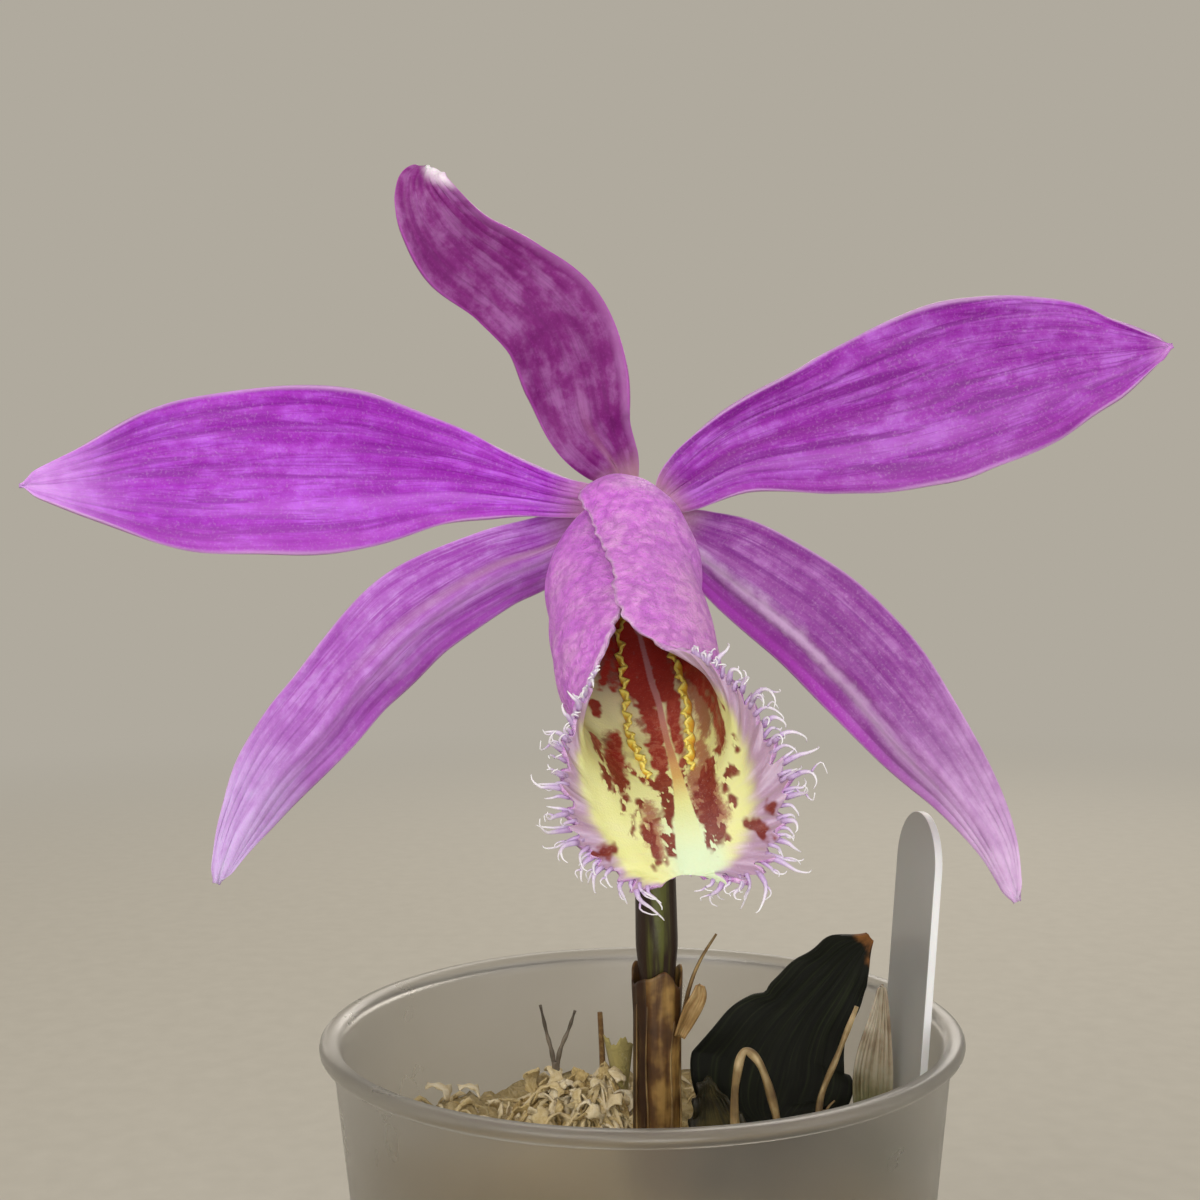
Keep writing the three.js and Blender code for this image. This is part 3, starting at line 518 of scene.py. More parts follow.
TEPALS = [
    ("petal_right", PETAL_RIGHT, {"cup": 0.12, "wave": 0.5, "waves": 3}, right_tissue, "tepal"),
    ("petal_left", PETAL_LEFT, {"cup": 0.12, "wave": 0.5, "waves": 3, "twist": 1}, left_tissue,
     "tepal"),
    ("dorsal_sepal", DORSAL_SEPAL, {"cup": 0.16, "wave": 0.35, "waves": 2.5}, dorsal_tissue_with_shade,
     "sepal_dorsal"),
    ("lateral_sepal_left", LATERAL_LEFT,
     {"fold": 0.6, "fold_at": 0.25, "wave": 0.4, "waves": 3}, lateral_left_tissue, "tepal"),
    ("lateral_sepal_right", LATERAL_RIGHT,
     {"fold": 0.6, "fold_at": -0.25, "wave": 0.3, "waves": 3}, lateral_right_tissue, "tepal"),
]
for seed, (name, stations, form, tissue, slot) in enumerate(TEPALS):
    surface = tepal_surface(stations, FLOWER, **form)
    length = np.linalg.norm(np.diff(np.array(stations)[:, :3], axis=0), axis=1).sum()
    lay_sheet(name + "_living", fine_tepal(surface, length, seed + 3), 56, 120, LIVING_WALL,
              tissue, [name])

# %% [markdown]
# ## Lip
# The lip is one petal rolled into a hood whose side lobes overlap, and it opens into a blade with a
# fringed margin. Its outside is lilac; its inside is yellow with maroon blotches, a pale midline
# and a mauve rim. It is made as one fine sheet on the inner face of its solid, and a wall grows
# outwards from it with its own material. The blotches can't be noise alone, because each has its
# own place beside the midline: short trails of round brush marks on a chart of the lip, measured
# along its floor and across it in millimetres, give each point its depth inside a marking, and the
# material roughens that edge.

# %% The surface of the lip
LIP = [
    [[0.1, -0.7, -2.7], 20, [1.5, -1, -2], [-1.4, -1, -2], [1, 1]],
    [[0, -2.3, -4], 24, [2.9, -4.2, -1.4], [-2.6, -4, -0.2], [1, 1]],
    [[-0.8, -5, -7.6], 25, [-2.2, -7.1, 2.7], [0, -6.9, 1.3], [0.84, 1.2]],
    [[-1.2, -8.3, -12.2], 28, [-5.4, -10.6, 1.2], [-1.4, -10.5, -0.8], [0.92, 1.3]],
    [[-1, -12, -15.4], 30, [-4.1, -15, -2.2], [-1.9, -14.5, -3.6], [0.97, 1.24]],
    [[-0.6, -15.5, -18], 32, [-2.7, -19.3, -4.8], [-2.1, -18.6, -6], [1, 1.16]],
    [[-0.2, -18, -20.4], 35, [-1.6, -23.8, -8.4], [-2.5, -23.3, -9], [1, 1.07]],
    [[0.4, -20.3, -22], 42, [1, -26.5, -11.2], [-3.6, -26, -12.1], [1, 1]],
    [[0.9, -22.3, -23.4], 52, [5, -27.3, -13], [-5.2, -26.9, -15.8], [1, 1]],
    [[1.4, -24, -24.8], 64, [8.6, -27.5, -17.6], [-6.4, -27.3, -20], [1, 1]],
    [[1.8, -25.4, -26.2], 74, [10.2, -27.8, -22.6], [-6, -27.5, -23.8], [1, 1]],
    [[2.2, -26.3, -27.6], 80, [9.7, -28, -26.6], [-4.6, -27.8, -27], [1, 1]],
    [[2.7, -26.9, -28.8], 84, [7.5, -27.9, -29.2], [-2.3, -27.9, -29.2], [1, 1]],
    [[3, -27.1, -29.6], 86, [4.8, -27.5, -29.9], [0.8, -27.5, -30.4], [1, 1]],
]
lip_floor = through([row[0] for row in LIP])
lip_right = through([row[2] for row in LIP])
lip_left = through([row[3] for row in LIP])
lip_form = through([[row[1], *row[4]] for row in LIP])


def lip_surface(u, v):
    """Outer face: arcs that leave the floor level and end at the free margins."""
    base = lip_floor(u)
    margin = np.where((v > 0)[..., None], lip_right(u), lip_left(u)) - base
    form = lip_form(u)
    lean = np.radians(form[..., 0])
    belly = np.where(v > 0, form[..., 1], form[..., 2])
    none = np.zeros_like(lean)
    up = np.stack([none, -np.sin(lean), np.cos(lean)], -1)
    forth = np.stack([none, -np.cos(lean), -np.sin(lean)], -1)
    outwards = np.sign(v) * margin[..., 0]
    rise = (margin * up).sum(-1)
    slide = (margin * forth).sum(-1)
    sweep = 2 * np.arctan2(rise, outwards)
    radius = (outwards ** 2 + rise ** 2) / (2 * rise)
    s = np.abs(v)
    x = np.sign(v) * radius * np.sin(sweep * s) * belly
    y = radius * (1 - np.cos(sweep * s))
    spot = base + up * y[..., None] + forth * (slide * s * s)[..., None]
    return spot + np.stack([x, none, none], -1) + FLOWER


share = np.linspace(0, 1, 401)
floor_step = np.linalg.norm(np.diff(lip_floor(share), axis=0), axis=1)
floor_run = np.concatenate([[0], np.cumsum(floor_step)])


def half_width(u, side):
    section = lip_surface(np.full(41, u), side * np.linspace(0.001, 1, 41))
    return np.linalg.norm(np.diff(section, axis=0), axis=1).sum()


coarse = np.linspace(0, 1, 61)
width_right = np.array([half_width(u, 1) for u in coarse])
width_left = np.array([half_width(u, -1) for u in coarse])


def lip_width(u, v):
    return np.where(v > 0, np.interp(u, coarse, width_right), np.interp(u, coarse, width_left))


print("lip floor length:", round(floor_run[-1], 1), "mm")

# %% Where the tufts of the fringe stand on the margin
def margin_run(u, side):
    """Millimetres along a free margin from the claw of the lip."""
    edge = lip_surface(share, np.full_like(share, float(side)))
    run = np.concatenate([[0], np.cumsum(np.linalg.norm(np.diff(edge, axis=0), axis=1))])
    return np.interp(u, share, run)


run_right, run_left = margin_run(share, 1), margin_run(share, -1)
TUFT_STEP, LAST_TUFT = 1.35, 0.997
TUFTS_FROM = {-1: 0.57, 1: 0.6}
fringe_draw = random.Random(7)
tufts = []
for side, run in ((-1, run_left), (1, run_right)):
    at = float(margin_run(TUFTS_FROM[side], side))
    while at < run[-1] - 0.2:
        u = float(np.interp(at, run, share))
        tufts.append((min(u, LAST_TUFT), side, fringe_draw.uniform(0.7, 1.3)))
        at += TUFT_STEP * fringe_draw.uniform(0.7, 1.4)
tuft_u, tuft_side, tuft_vigour = np.array(tufts).T
tuft_run = np.array([margin_run(u, s) for u, s, _ in tufts])
LOBE_HEIGHT, LOBE_REACH = 1.3, 0.72
INNER_FACE = 0.5


def lobes(u, v):
    """How far the margin is drawn out into a lobe under each tuft, 0 to 1."""
    run = np.where(v > 0, np.interp(u, share, run_right), np.interp(u, share, run_left))
    apart = np.abs(run[..., None] - tuft_run)
    same = (np.sign(v)[..., None] == tuft_side)
    grown = tuft_vigour * ease(tuft_u, 0.55, 0.66)
    return np.max(np.where(same, grown * np.maximum(0, 1 - apart / LOBE_REACH), 0), axis=-1)


def lip_inside(u, v):
    """Inner face of the wall, with ruffles in its flared rim and small teeth on its hood."""
    s = np.abs(v)
    rim = ease(s, 0.7, 1)
    opened = ease(u, 0.52, 0.66)
    width = lip_width(u, v)
    closing = np.where(v > 0, 0.6 * np.exp(-((u - 0.5) / 0.07) ** 2),
                       0.7 * np.exp(-((u - 0.45) / 0.09) ** 2))
    drawn_out = (LOBE_HEIGHT * lobes(u, v) + closing) * ease(s, 0.84, 1) / width
    run = np.where(v > 0, np.interp(u, share, run_right), np.interp(u, share, run_left))
    teeth = 0.16 * swell(run / 0.22, np.sign(v), 31) * ease(s, 0.96, 1) * (1 - opened) / width
    spot = lip_surface(u, v * (1 + drawn_out + teeth))
    face = face_of(lip_surface, u, v)
    radial = 0.05 * np.sin(run * math.tau / 0.75 + 1.5 * swell(run / 2, s, 5))
    ruffle = 0.26 * np.sin(run * math.tau / 2.7 + np.sign(v)) + radial
    lift = INNER_FACE + ruffle * rim * opened
    hood = (1 - opened) * ease(u, 0.1, 0.2)
    lift = lift + 0.13 * swell(u * 22, v * 9, 12) * hood * (1 - ease(s, 0.9, 1))
    lift = lift + 0.06 * swell(u * 60, v * 27, 17) * hood
    lift = lift + 0.06 * swell(u * 30, v * 14, 14) * opened * (1 - rim)
    return spot + face * lift[..., None]


print("tufts:", len(tufts), "margin lengths", round(run_left[-1], 1), round(run_right[-1], 1), "mm")

# %% Maroon, washes and the midline on the chart of the lip: [along, across, radius] in mm
MAROON = [
    [[9, 1.2, 0.9], [14.5, 1.2, 0.8], [17.8, 1.3, 0.75], [20.8, 1.6, 0.6], [24.6, 1.8, 0.45],
     [27.5, 1.5, 0.35]],
    [[9, 0.1, 1.3], [14.5, 0, 1.1], [17.8, 0, 1.05], [20.8, 0.9, 0.9], [24.6, 1.2, 0.75],
     [28.3, 0.9, 0.8], [31.2, 0.7, 0.85], [33.5, 0.2, 0.7], [35.3, -0.4, 0.6],
     [36.5, -0.4, 0.47]],
    [[19, 6.2, 0.6], [23, 8.4, 0.5], [27, 10.2, 0.75]],
    [[16, 4.8, 0.8], [20, 6.2, 0.7], [24, 7.2, 0.45]],
    [[23.5, 7, 0.4], [26.5, 8.2, 0.55], [29, 8.4, 0.5]],
    [[9, 2.5, 0.95], [13.1, 2.7, 0.95], [17.1, 3.1, 1.1], [20.1, 3.4, 1], [22.5, 3.5, 0.85],
     [24.7, 3.3, 0.61], [27.1, 3, 0.47], [29.4, 2.8, 0.28], [31.5, 2.8, 0.15]],
    [[9, -2, 1.2], [15, -1.7, 0.5], [17.5, -2.2, 0.4], [19.5, -2.9, 0.3]],
    [[16, -1.1, 0.25], [19.4, -1.7, 0.2]],
    [[21.6, -3.5, 0.6], [22.6, -3.8, 0.65]],
    [[26.8, -5.1, 0.6], [29.0, -5.5, 0.8]],
    [[31.0, -5.4, 0.65], [31.9, -5.3, 0.65]],
    [[24.4, -1.9, 0.4], [27.1, -3.1, 0.8], [29.9, -3.8, 1.1], [31.2, -3.8, 0.9],
     [32.6, -4.6, 0.25]],
    [[29, -2.3, 0.42], [29.9, -1.2, 0.52], [30.8, -0.1, 0.6], [31.2, 0.5, 0.66]],
    [[32.7, -3.5, 0.33], [34.2, -4, 0.24]],
    [[32.7, -2, 0.42], [33.9, -2.5, 0.33]],
    [[34.5, -3, 0.28], [35.5, -3.3, 0.24]],
    [[36.1, -2.2, 0.62], [34.9, -1.9, 0.6], [34.2, -0.9, 0.33], [34.6, -0.2, 0.42],
     [36, -0.3, 0.55], [37, -0.4, 0.36]],
    [[36.7, -1.7, 0.3], [37.2, -1.9, 0.3]],
    [[37.8, -2.3, 0.19], [37.7, -1.4, 0.24]],
    [[37.1, -6.4, 0.34], [36.6, -5.4, 0.4]],
    [[9, 4.6, 1.2], [15, 5.2, 0.9], [21.6, 7.2, 0.42]],
    [[22.4, 7.6, 0.4], [25.5, 9.4, 0.75], [28, 9.8, 0.8], [29.8, 9, 0.66], [30.4, 7.8, 0.47],
     [29.6, 6.5, 0.28]],
    [[27.4, 12.6, 0.3], [29.6, 11.6, 0.3]],
    [[31.5, 9.8, 0.22], [32.1, 9.2, 0.2]],
    [[32.6, 7.7, 0.38], [32.3, 7.2, 0.42], [32.8, 6.4, 0.38], [33.2, 5.9, 0.28]],
    [[30.5, 6, 0.75], [31.3, 5, 1.1], [32.5, 4.3, 1.2], [33.4, 4.4, 0.8]],
    [[33.6, 3.8, 0.85], [34.8, 3.8, 1.05], [35.7, 3.5, 0.8], [36.5, 3, 0.5]],
    [[32.8, 3, 0.28], [33.8, 2.7, 0.36]],
    [[33.9, 6, 0.28], [34.2, 5.9, 0.26]],
    [[35.8, 4.4, 0.19], [36.1, 4.3, 0.19]],
    [[35.5, 6.4, 0.36], [36.1, 7.3, 0.44]],
    [[35.2, 8.3, 0.26], [35.5, 8.5, 0.18]],
]
WASH = [
    [[9, -3, 3], [14, -2, 2], [18, -1.8, 0.7]],
    [[9, 4, 3], [15, 4.5, 1.6], [19, 5.4, 1], [23.6, 6.5, 1.1], [26.9, 6.3, 1]],
    [[27.7, 5.1, 0.7], [29.8, 5.2, 0.9]],
    [[23, 0.2, 0.5], [23.9, 0.7, 0.4]],
    [[31, 4.4, 1.6], [34, 4, 1.5]],
    [[22, 8, 1.4], [25, 9, 1.7], [28, 9, 1.5], [30, 8.2, 1]],
    [[25, -2.6, 0.6], [28, -3.4, 1.1], [31, -3.9, 1.0]],
    [[33, -1.4, 0.6], [35.4, -1.6, 0.8], [37, -1.5, 0.5]],
]
MIDLINE = [
    [[6, 0.6, 0.22], [10.8, 0.9, 0.25], [12.2, 1.4, 0.26], [15.2, 1.8, 0.3], [18.2, 2, 0.33],
     [21.1, 2.25, 0.32], [23.4, 2.3, 0.32], [25.6, 2.3, 0.32], [28.5, 2.1, 0.42], [30.9, 2.1, 0.6],
     [33.1, 1.8, 0.85], [35.2, 1.4, 1.05], [37.3, 1.1, 1.3], [38.8, 1, 1.5]],
]


def trail_depth(along, across, trails):
    """Depth in mm inside the nearest trail of brush marks; below zero outside them."""
    depth = np.full(along.shape, -9.0)
    for trail in trails:
        course = through(trail)(np.linspace(0, 1, 10 * len(trail)))
        for a, s, r in course:
            np.maximum(depth, r - np.hypot(along - a, across - s), out=depth)
    return depth


print("markings:", len(MAROON), "maroon,", len(WASH), "washes")

# %% The lip's sheet with its painted fields
FIELDS = ["maroon", "wash", "midline", "along_mm", "across_mm", "edge_mm", "rim", "pale"]
mesh = new_mesh(FIELDS)
mean_run = run_left / run_left[-1] + run_right / run_right[-1]
points, way, v = sheet(mesh, 150, 300, lambda way, v: lip_inside(
    np.interp(2 * way, mean_run, share), v))
u = np.interp(2 * way, mean_run, share)
along = np.interp(u, share, floor_run)
across = v * lip_width(u, v)
to_edge = np.minimum((1 - np.abs(v)) * lip_width(u, v), (1 - u) * floor_run[-1] * 1.6 + 0.25)
blade = ease(u, 0.5, 0.64)
rim_from = np.where(v > 0, 1.1, 0.5) - 0.5 * ease(u, 0.84, 0.95)
rim_to = rim_from + np.where(v > 0, 2.6, 1.9) - 1.3 * ease(u, 0.84, 0.95)
fields = {
    "maroon": trail_depth(along, across, MAROON),
    "wash": trail_depth(along, across, WASH),
    "midline": trail_depth(along, across, MIDLINE),
    "along_mm": along,
    "across_mm": across,
    "edge_mm": to_edge,
    "rim": 1 - ease(to_edge, rim_from + 3.5 * (1 - blade), rim_to + 6 * (1 - blade)),
    "pale": ease(along, 31, 37) * (1 - ease(np.abs(across - 1.4), 1.4, 3.4)),
}
for name in FIELDS:
    write_field(mesh, name, points, fields[name])
print("lip points:", len(points), "maroon share:", round(float((fields["maroon"] > 0).mean()), 2))

# %% [markdown]
# The inside of the lip is the same living tissue as the petals, waxy and a little translucent. Its
# ground is lemon yellow that pales to greenish white at the mouth's floor. Inside the tube it is
# painted paler cream, painted light against the tube's shade, and deepest in the tube it is painted
# grey, as painted shade. Maroon sap lies in the cells in ragged patches over it, painted brighter
# deep in the tube as light against that shade, and the rim is mauve with fine veins that run out to
# the fringe. Pale flecks on its cells are painted glints.

# %% Finish inside the lip
lip_inner, tree, spot = blank_finish("lip_tissue_inside")
field = {name: node(tree, "Attribute", out="Fac", attribute_name=name) for name in fields}
chart = node(tree, "CombineXYZ", {0: field["across_mm"], 1: field["along_mm"]})
ragged, cells, clouds, torn = (
    node(tree, "TexNoise", {"Vector": spot, "Scale": PER_MM / wide, "Detail": detail,
                            "Roughness": rough})
    for wide, detail, rough in ((0.55, 4, 0.65), (0.16, 2, 0.6), (2.5, 3, 0.5), (0.9, 1, 0.5)))
ground = layer(tree, "#DFDF8C", "#E6E7AE", clouds)
# Paler cream inside the tube: painted light against the shade in it.
ground = layer(tree, ground, "#F4ECC2", field["along_mm"], 28.0, 21.0, 0.8)
# Grey deepest in the tube: painted shade.
throat_shade = node(tree, "MapRange", {0: field["along_mm"], 1: 23.0, 2: 15.0, 4: 0.9}, **SOFT)
ground = layer(tree, ground, "#987078", throat_shade)
ground = layer(tree, ground, "#D8E8C2", field["pale"])
wash_edge = node(tree, "Math", {0: ragged, 1: 1.8, 2: field["wash"]}, **TIMES_PLUS)
ground = layer(tree, ground, "#944438", wash_edge, 0.5, 1.4, 0.84)
sap = layer(tree, "#8C1018", "#B43C30", ragged)
low = node(tree, "MapRange", {0: field["along_mm"], 1: 26.0, 2: 32.0, 4: 0.85}, **SOFT)
low_sap = layer(tree, "#540C0C", "#86301E", ragged)
fleck_place = node(tree, "Mapping", {0: chart, "Scale": (1.5, 0.9, 1)})
flecks = node(tree, "TexNoise", {"Vector": fleck_place, "Scale": 1.0, "Detail": 2.0})
fleck_depth = node(tree, "MapRange", {0: field["along_mm"], 1: 26.0, 2: 34.0, 4: -1.1})
sap_edge = node(tree, "Math", {0: torn, 1: 1.4, 2: field["maroon"]}, **TIMES_PLUS)
fleck_share = node(tree, "MapRange", {0: flecks, 1: 0.52, 2: 0.66}, **SOFT)
inland = node(tree, "MapRange", {0: field["edge_mm"], 1: 2.4, 2: 4.2}, **SOFT)
fleck_share = node(tree, "Math", {0: fleck_share, 1: inland}, **TIMES)
sap_edge = node(tree, "Math", {0: fleck_share, 1: fleck_depth, 2: sap_edge}, **TIMES_PLUS)
faded = node(tree, "MapRange", {0: field["along_mm"], 1: 20.0, 2: 27.0, 4: 0.6}, **SOFT)
fading = node(tree, "MapRange", {0: ragged, 1: 0.46, 2: 0.58}, **SOFT)
fading = node(tree, "Math", {0: faded, 1: fading}, **TIMES)
sap = layer(tree, sap, "#BC6A54", fading)
sap = layer(tree, sap, low_sap, low)
# Brighter sap deepest in the tube: painted light against the shade there.
sap_painted_light = layer(tree, "#A8141C", "#D04838", ragged)
sap = layer(tree, sap, sap_painted_light, throat_shade)
sap_share = node(tree, "MapRange", {0: sap_edge, 1: 0.5, 2: 0.98, 4: 0.97}, **SOFT)
rim_place = node(tree, "Mapping", {0: chart, "Scale": (0.35, 2.6, 1)})
rim_veins = node(tree, "TexNoise", {"Vector": rim_place, "Scale": 1.0, "Detail": 3.0})
mauve = node(tree, "ValToRGB", {0: rim_veins}, stops=[
    (0.32, "#9A6CA0"), (0.5, "#B088B4"), (0.68, "#D2B8D8")])
rim_edge = node(tree, "Math", {0: rim_veins, 1: 0.9, 2: field["rim"]}, **TIMES_PLUS)
colour = layer(tree, ground, mauve, rim_edge, 0.4, 1.6, 0.93)
colour = layer(tree, colour, sap, sap_share)
# The midline's upper end is painted a lighter pink: painted light against the shade in the tube.
run = node(tree, "MapRange", {0: field["along_mm"], 1: 10.0, 2: 37.0})
stripe = node(tree, "ValToRGB", {0: run}, stops=[
    (0.0, "#D08C98"), (0.42, "#CC8C8C"), (0.6, "#CC8C6C"), (0.74, "#DCB46C"), (0.84, "#E0E29A"),
    (1.0, "#D8E8C2")])
colour = layer(tree, colour, stripe, field["midline"], -0.06, 0.1)
# Pale flecks on the cells: painted glints, their sparkle.
colour = layer(tree, colour, "#F0E0DC", cells, 0.55, 0.85, 0.2)
close_finish(tree, colour, 0.42, cells, 0.45, 0.08, flesh=(0.2, 0.5, (1.0, 0.6, 0.5)))

# %% Finish outside the lip
lip_outer, tree, spot = blank_finish("lip_tissue_outside")
edge, away, sides = (node(tree, "Attribute", out="Fac", attribute_name=name)
                     for name in ("edge_mm", "along_mm", "across_mm"))
clouds, net, cells = (
    node(tree, "TexNoise", {"Vector": spot, "Scale": PER_MM / wide, "Detail": detail,
                            "Roughness": rough, "Distortion": bent})
    for wide, detail, rough, bent in ((3.2, 4, 0.5, 0.5), (0.9, 5, 0.7, 1.2), (0.2, 2, 0.65, 0)))
colour = node(tree, "ValToRGB", {0: clouds}, stops=[
    (0.34, "#E674FA"), (0.5, "#F28CFF"), (0.66, "#F8A8FF")])
colour = layer(tree, colour, "#C040D0", net, 0.5, 0.38, 0.4)
low = node(tree, "MapRange", {0: away, 1: 12.0, 2: 25.0}, **SOFT)
right_side = node(tree, "MapRange", {0: sides, 1: -2.0, 2: 8.0, 3: 0.2, 4: 1.0}, **SOFT)
to_seam = node(tree, "MapRange", {0: sides, 1: 22.0, 2: 15.0, 3: 0.25, 4: 1.0}, **SOFT)
blush = low
for factor in (right_side, to_seam, 0.8):
    blush = node(tree, "Math", {0: blush, 1: factor}, **TIMES)
colour = layer(tree, colour, "#F0A8E8", blush)
# Pale flecks on the cells: painted glints, their sparkle.
colour = layer(tree, colour, "#ECC4F8", cells, 0.52, 0.75, 0.4)
colour = layer(tree, colour, "#FAD8FA", edge, 0.4, 0.0, 0.7)
rough = node(tree, "MapRange", {0: cells, 1: 0.3, 2: 0.7, 3: 0.5, 4: 0.34})
pebbles = node(tree, "TexVoronoi", {"Vector": spot, "Scale": PER_MM / 0.75, "Randomness": 1.0},
               feature="SMOOTH_F1")
colour = layer(tree, colour, "#BC48CC", pebbles, 0.35, 0.6, 0.4)
bumps = node(tree, "Math", {0: pebbles, 1: -0.8, 2: cells}, **TIMES_PLUS)
height = node(tree, "Math", {0: net, 1: 2.5, 2: bumps}, **TIMES_PLUS)
close_finish(tree, colour, rough, height, 0.85, 0.3, flesh=(0.2, 0.5, (1.0, 0.5, 0.9)),
             more={"Sheen Weight": 0.12, "Sheen Roughness": 0.4})
lip_piece = settle(mesh, "lip_living", [lip_inner, lip_outer], ["lip"])
thicken(lip_piece, LIVING_WALL, -1, skin=1)

# %% [markdown]
# ## Fringe
# Each lobe of the rim ends in a tuft of three hairs with hooked ends, the middle one the longest,
# and about every other hair forks. Particle hair would be easy, but it isn't geometry that can
# leave Blender, so every hair is a thin tapered rod with few faces. Its UV map runs from root to
# tip, and the finish goes from the mauve of the rim to white.

# %% Fringe of the lip
fringe_tissue, tree, spot = blank_finish("fringe_hair_tissue")
uv = node(tree, "UVMap", uv_map="UVMap")
grown = node(tree, "SeparateXYZ", {0: uv}, out=1)
blush = node(tree, "TexNoise", {"Vector": spot, "Scale": PER_MM / 0.6, "Detail": 2.0})
drift = node(tree, "Math", {0: blush, 1: 0.5, 2: grown}, **TIMES_PLUS)
colour = node(tree, "ValToRGB", {0: drift}, stops=[
    (0.2, "#B896C4"), (0.4, "#C8AEDA"), (0.7, "#E4DAEC"), (1.0, "#F2EEF6")])
close_finish(tree, colour, 0.38, blush, 0.2, 0.05, flesh=(0.3, 0.3, (1.0, 0.8, 1.0)))
HAIR_SPREAD, HAIR_LIFT, FORK_CHANCE = 0.34, 0.28, 0.45
MAIN_ROOT, SIDE_ROOT, FORK_ROOT, HAIR_TIP = 0.23, 0.16, 0.07, 0.042


def grow_hair(mesh, line, root, sides=6, rows=10):
    rod(mesh, line, lambda t, a: root * (1 - t) ** 1.5 + HAIR_TIP, sides=sides, rows=rows)


mesh = new_mesh()
hairs = 0
for u, side, vigour in tufts:
    run = run_right if side > 0 else run_left
    way = fringe_draw.choice([-1, 1])
    for shift in (-HAIR_SPREAD, 0.0, HAIR_SPREAD):
        foot = np.interp(np.interp(u, share, run) + shift, run, share)
        at_u = np.array([min(float(foot), LAST_TUFT)])
        at_v = np.array([float(side)])
        width = lip_width(at_u, at_v)[0]
        growth = float(ease(at_u, 0.55, 0.68)[0])
        lobe = LOBE_HEIGHT * vigour * growth * (1 - abs(shift) / LOBE_REACH)
        face = face_of(lip_surface, at_u, at_v)[0]
        lifted = face * HAIR_LIFT
        root = lip_surface(at_u, at_v * (1 + (lobe - 0.5) / width))[0] + lifted
        tip = lip_surface(at_u, at_v * (1 + lobe / width))[0] + lifted
        inner = lip_surface(at_u, at_v * 0.8)[0] + lifted
        edge_way = unit(lip_surface(np.minimum(at_u + 0.01, 1), at_v)[0]
                        - lip_surface(at_u - 0.01, at_v)[0])
        outwards = tip - inner
        outwards = unit(outwards - edge_way * outwards.dot(edge_way))
        downwards = float(ease(u, 0.86, 1.0))
        outwards = unit(outwards * (1 - 0.75 * downwards) + edge_way * 1.2 * downwards)
        length = (0.4 + 1.7 * growth) * vigour * fringe_draw.uniform(0.75, 1.15)
        length = length * (1 if shift == 0 else 0.72)
        bend = way * fringe_draw.uniform(0.05, 0.65)
        forth = fringe_draw.uniform(-0.38, 0.3)
        reach = unit(outwards + edge_way * (shift * 0.9 + fringe_draw.uniform(-0.25, 0.25))
                     + face * forth)
        hook = unit(edge_way * bend + face * forth * 1.5 + np.array([0, 0, -0.25]))
        main = through([root, tip + reach * length * 0.38,
                        tip + reach * length * 0.75 + hook * length * 0.1,
                        tip + reach * length * 0.95 + hook * length * 0.42,
                        tip + reach * length * 0.88 + hook * length * 0.66])
        grow_hair(mesh, main, MAIN_ROOT if shift == 0 else SIDE_ROOT)
        hairs += 1
        if fringe_draw.random() < FORK_CHANCE:
            start = main(np.array([fringe_draw.uniform(0.25, 0.5)]))[0]
            swing = edge_way * fringe_draw.choice([-1, 1]) * fringe_draw.uniform(0.5, 1.1)
            branch = length * fringe_draw.uniform(0.35, 0.6)
            fork = through([start, start + unit(reach + swing) * branch * 0.5,
                            start + unit(reach + swing * 0.6) * branch,
                            start + reach * branch * 1.15 + hook * branch * 0.25])
            grow_hair(mesh, fork, FORK_ROOT, sides=5, rows=7)
            hairs += 1
settle(mesh, "lip_fringe", [fringe_tissue], closed=True)
print("hairs:", hairs)

# %% [markdown]
# ## Crests of the lip
# Two thin golden walls run down the lip, crimped like a ribbon that is too long for its seam. Each
# is a narrow sheet that stands on the floor and snakes more at its free edge than at its foot.

# %% Crests
crest_tissue, tree, spot = blank_finish("crest_tissue_golden")
uv = node(tree, "UVMap", uv_map="UVMap")
risen = node(tree, "SeparateXYZ", {0: uv}, out=0)
grain = node(tree, "TexNoise", {"Vector": spot, "Scale": PER_MM / 0.3, "Detail": 3.0})
mixed = node(tree, "Math", {0: grain, 1: 0.4, 2: risen}, **TIMES_PLUS)
colour = node(tree, "ValToRGB", {0: mixed}, stops=[
    (0.1, "#B87848"), (0.45, "#DCA83C"), (0.8, "#F0CC48"), (1.0, "#F6E070")])
close_finish(tree, colour, 0.4, grain, 0.3, 0.06, flesh=(0.25, 0.4, (1.0, 0.7, 0.2)))

CREST_FROM, CREST_TO, CREST_LENGTH = 0.2, 0.6, 20
CREST_FOOT, CREST_HEIGHT, CREST_WALL = 0.45, 0.95, 0.24
CRESTS = [("keel_left", [-0.028, -0.036, -0.06, -0.055], 3),
          ("keel_right", [0.15, 0.215, 0.225, 0.228], 8)]
for name, course, seed in CRESTS:
    track = through([[x, 0, 0] for x in course])

    def crest(u, v, track=track, seed=seed):
        run = u * CREST_LENGTH
        t = CREST_FROM + (CREST_TO - CREST_FROM) * u
        high = (v + 1) / 2
        snake = 0.34 * np.sin(run * math.tau / 2.1 + 0.6 * swell(run / 2, 0, seed))
        frill = 0.16 * np.sin(run * math.tau / 0.8) * high
        width = lip_width(t, track(u)[..., 0])
        sway = (snake * (0.25 + 0.75 * high) + frill) / width
        spot_v = track(u)[..., 0] + sway
        tall = CREST_HEIGHT * np.minimum(1, np.minimum(8 * u + 0.3, 8 * (1 - u) + 0.3))
        tall = tall * (0.9 + 0.14 * np.sin(run * math.tau / 1.3))
        foot = lip_surface(t, spot_v)
        return foot + face_of(lip_surface, t, spot_v) * (CREST_FOOT + tall * high)[..., None]

    lay_sheet(name + "_living", crest, 8, 200, CREST_WALL, crest_tissue, [name])

# %% [markdown]
# ## Column and ovary
# The column is a pale club under the hood with the anther cap at its end; the ovary is the ribbed
# upper end of the stem that bends forwards and carries the tepals. Both are rods along the same
# lines as their solids.

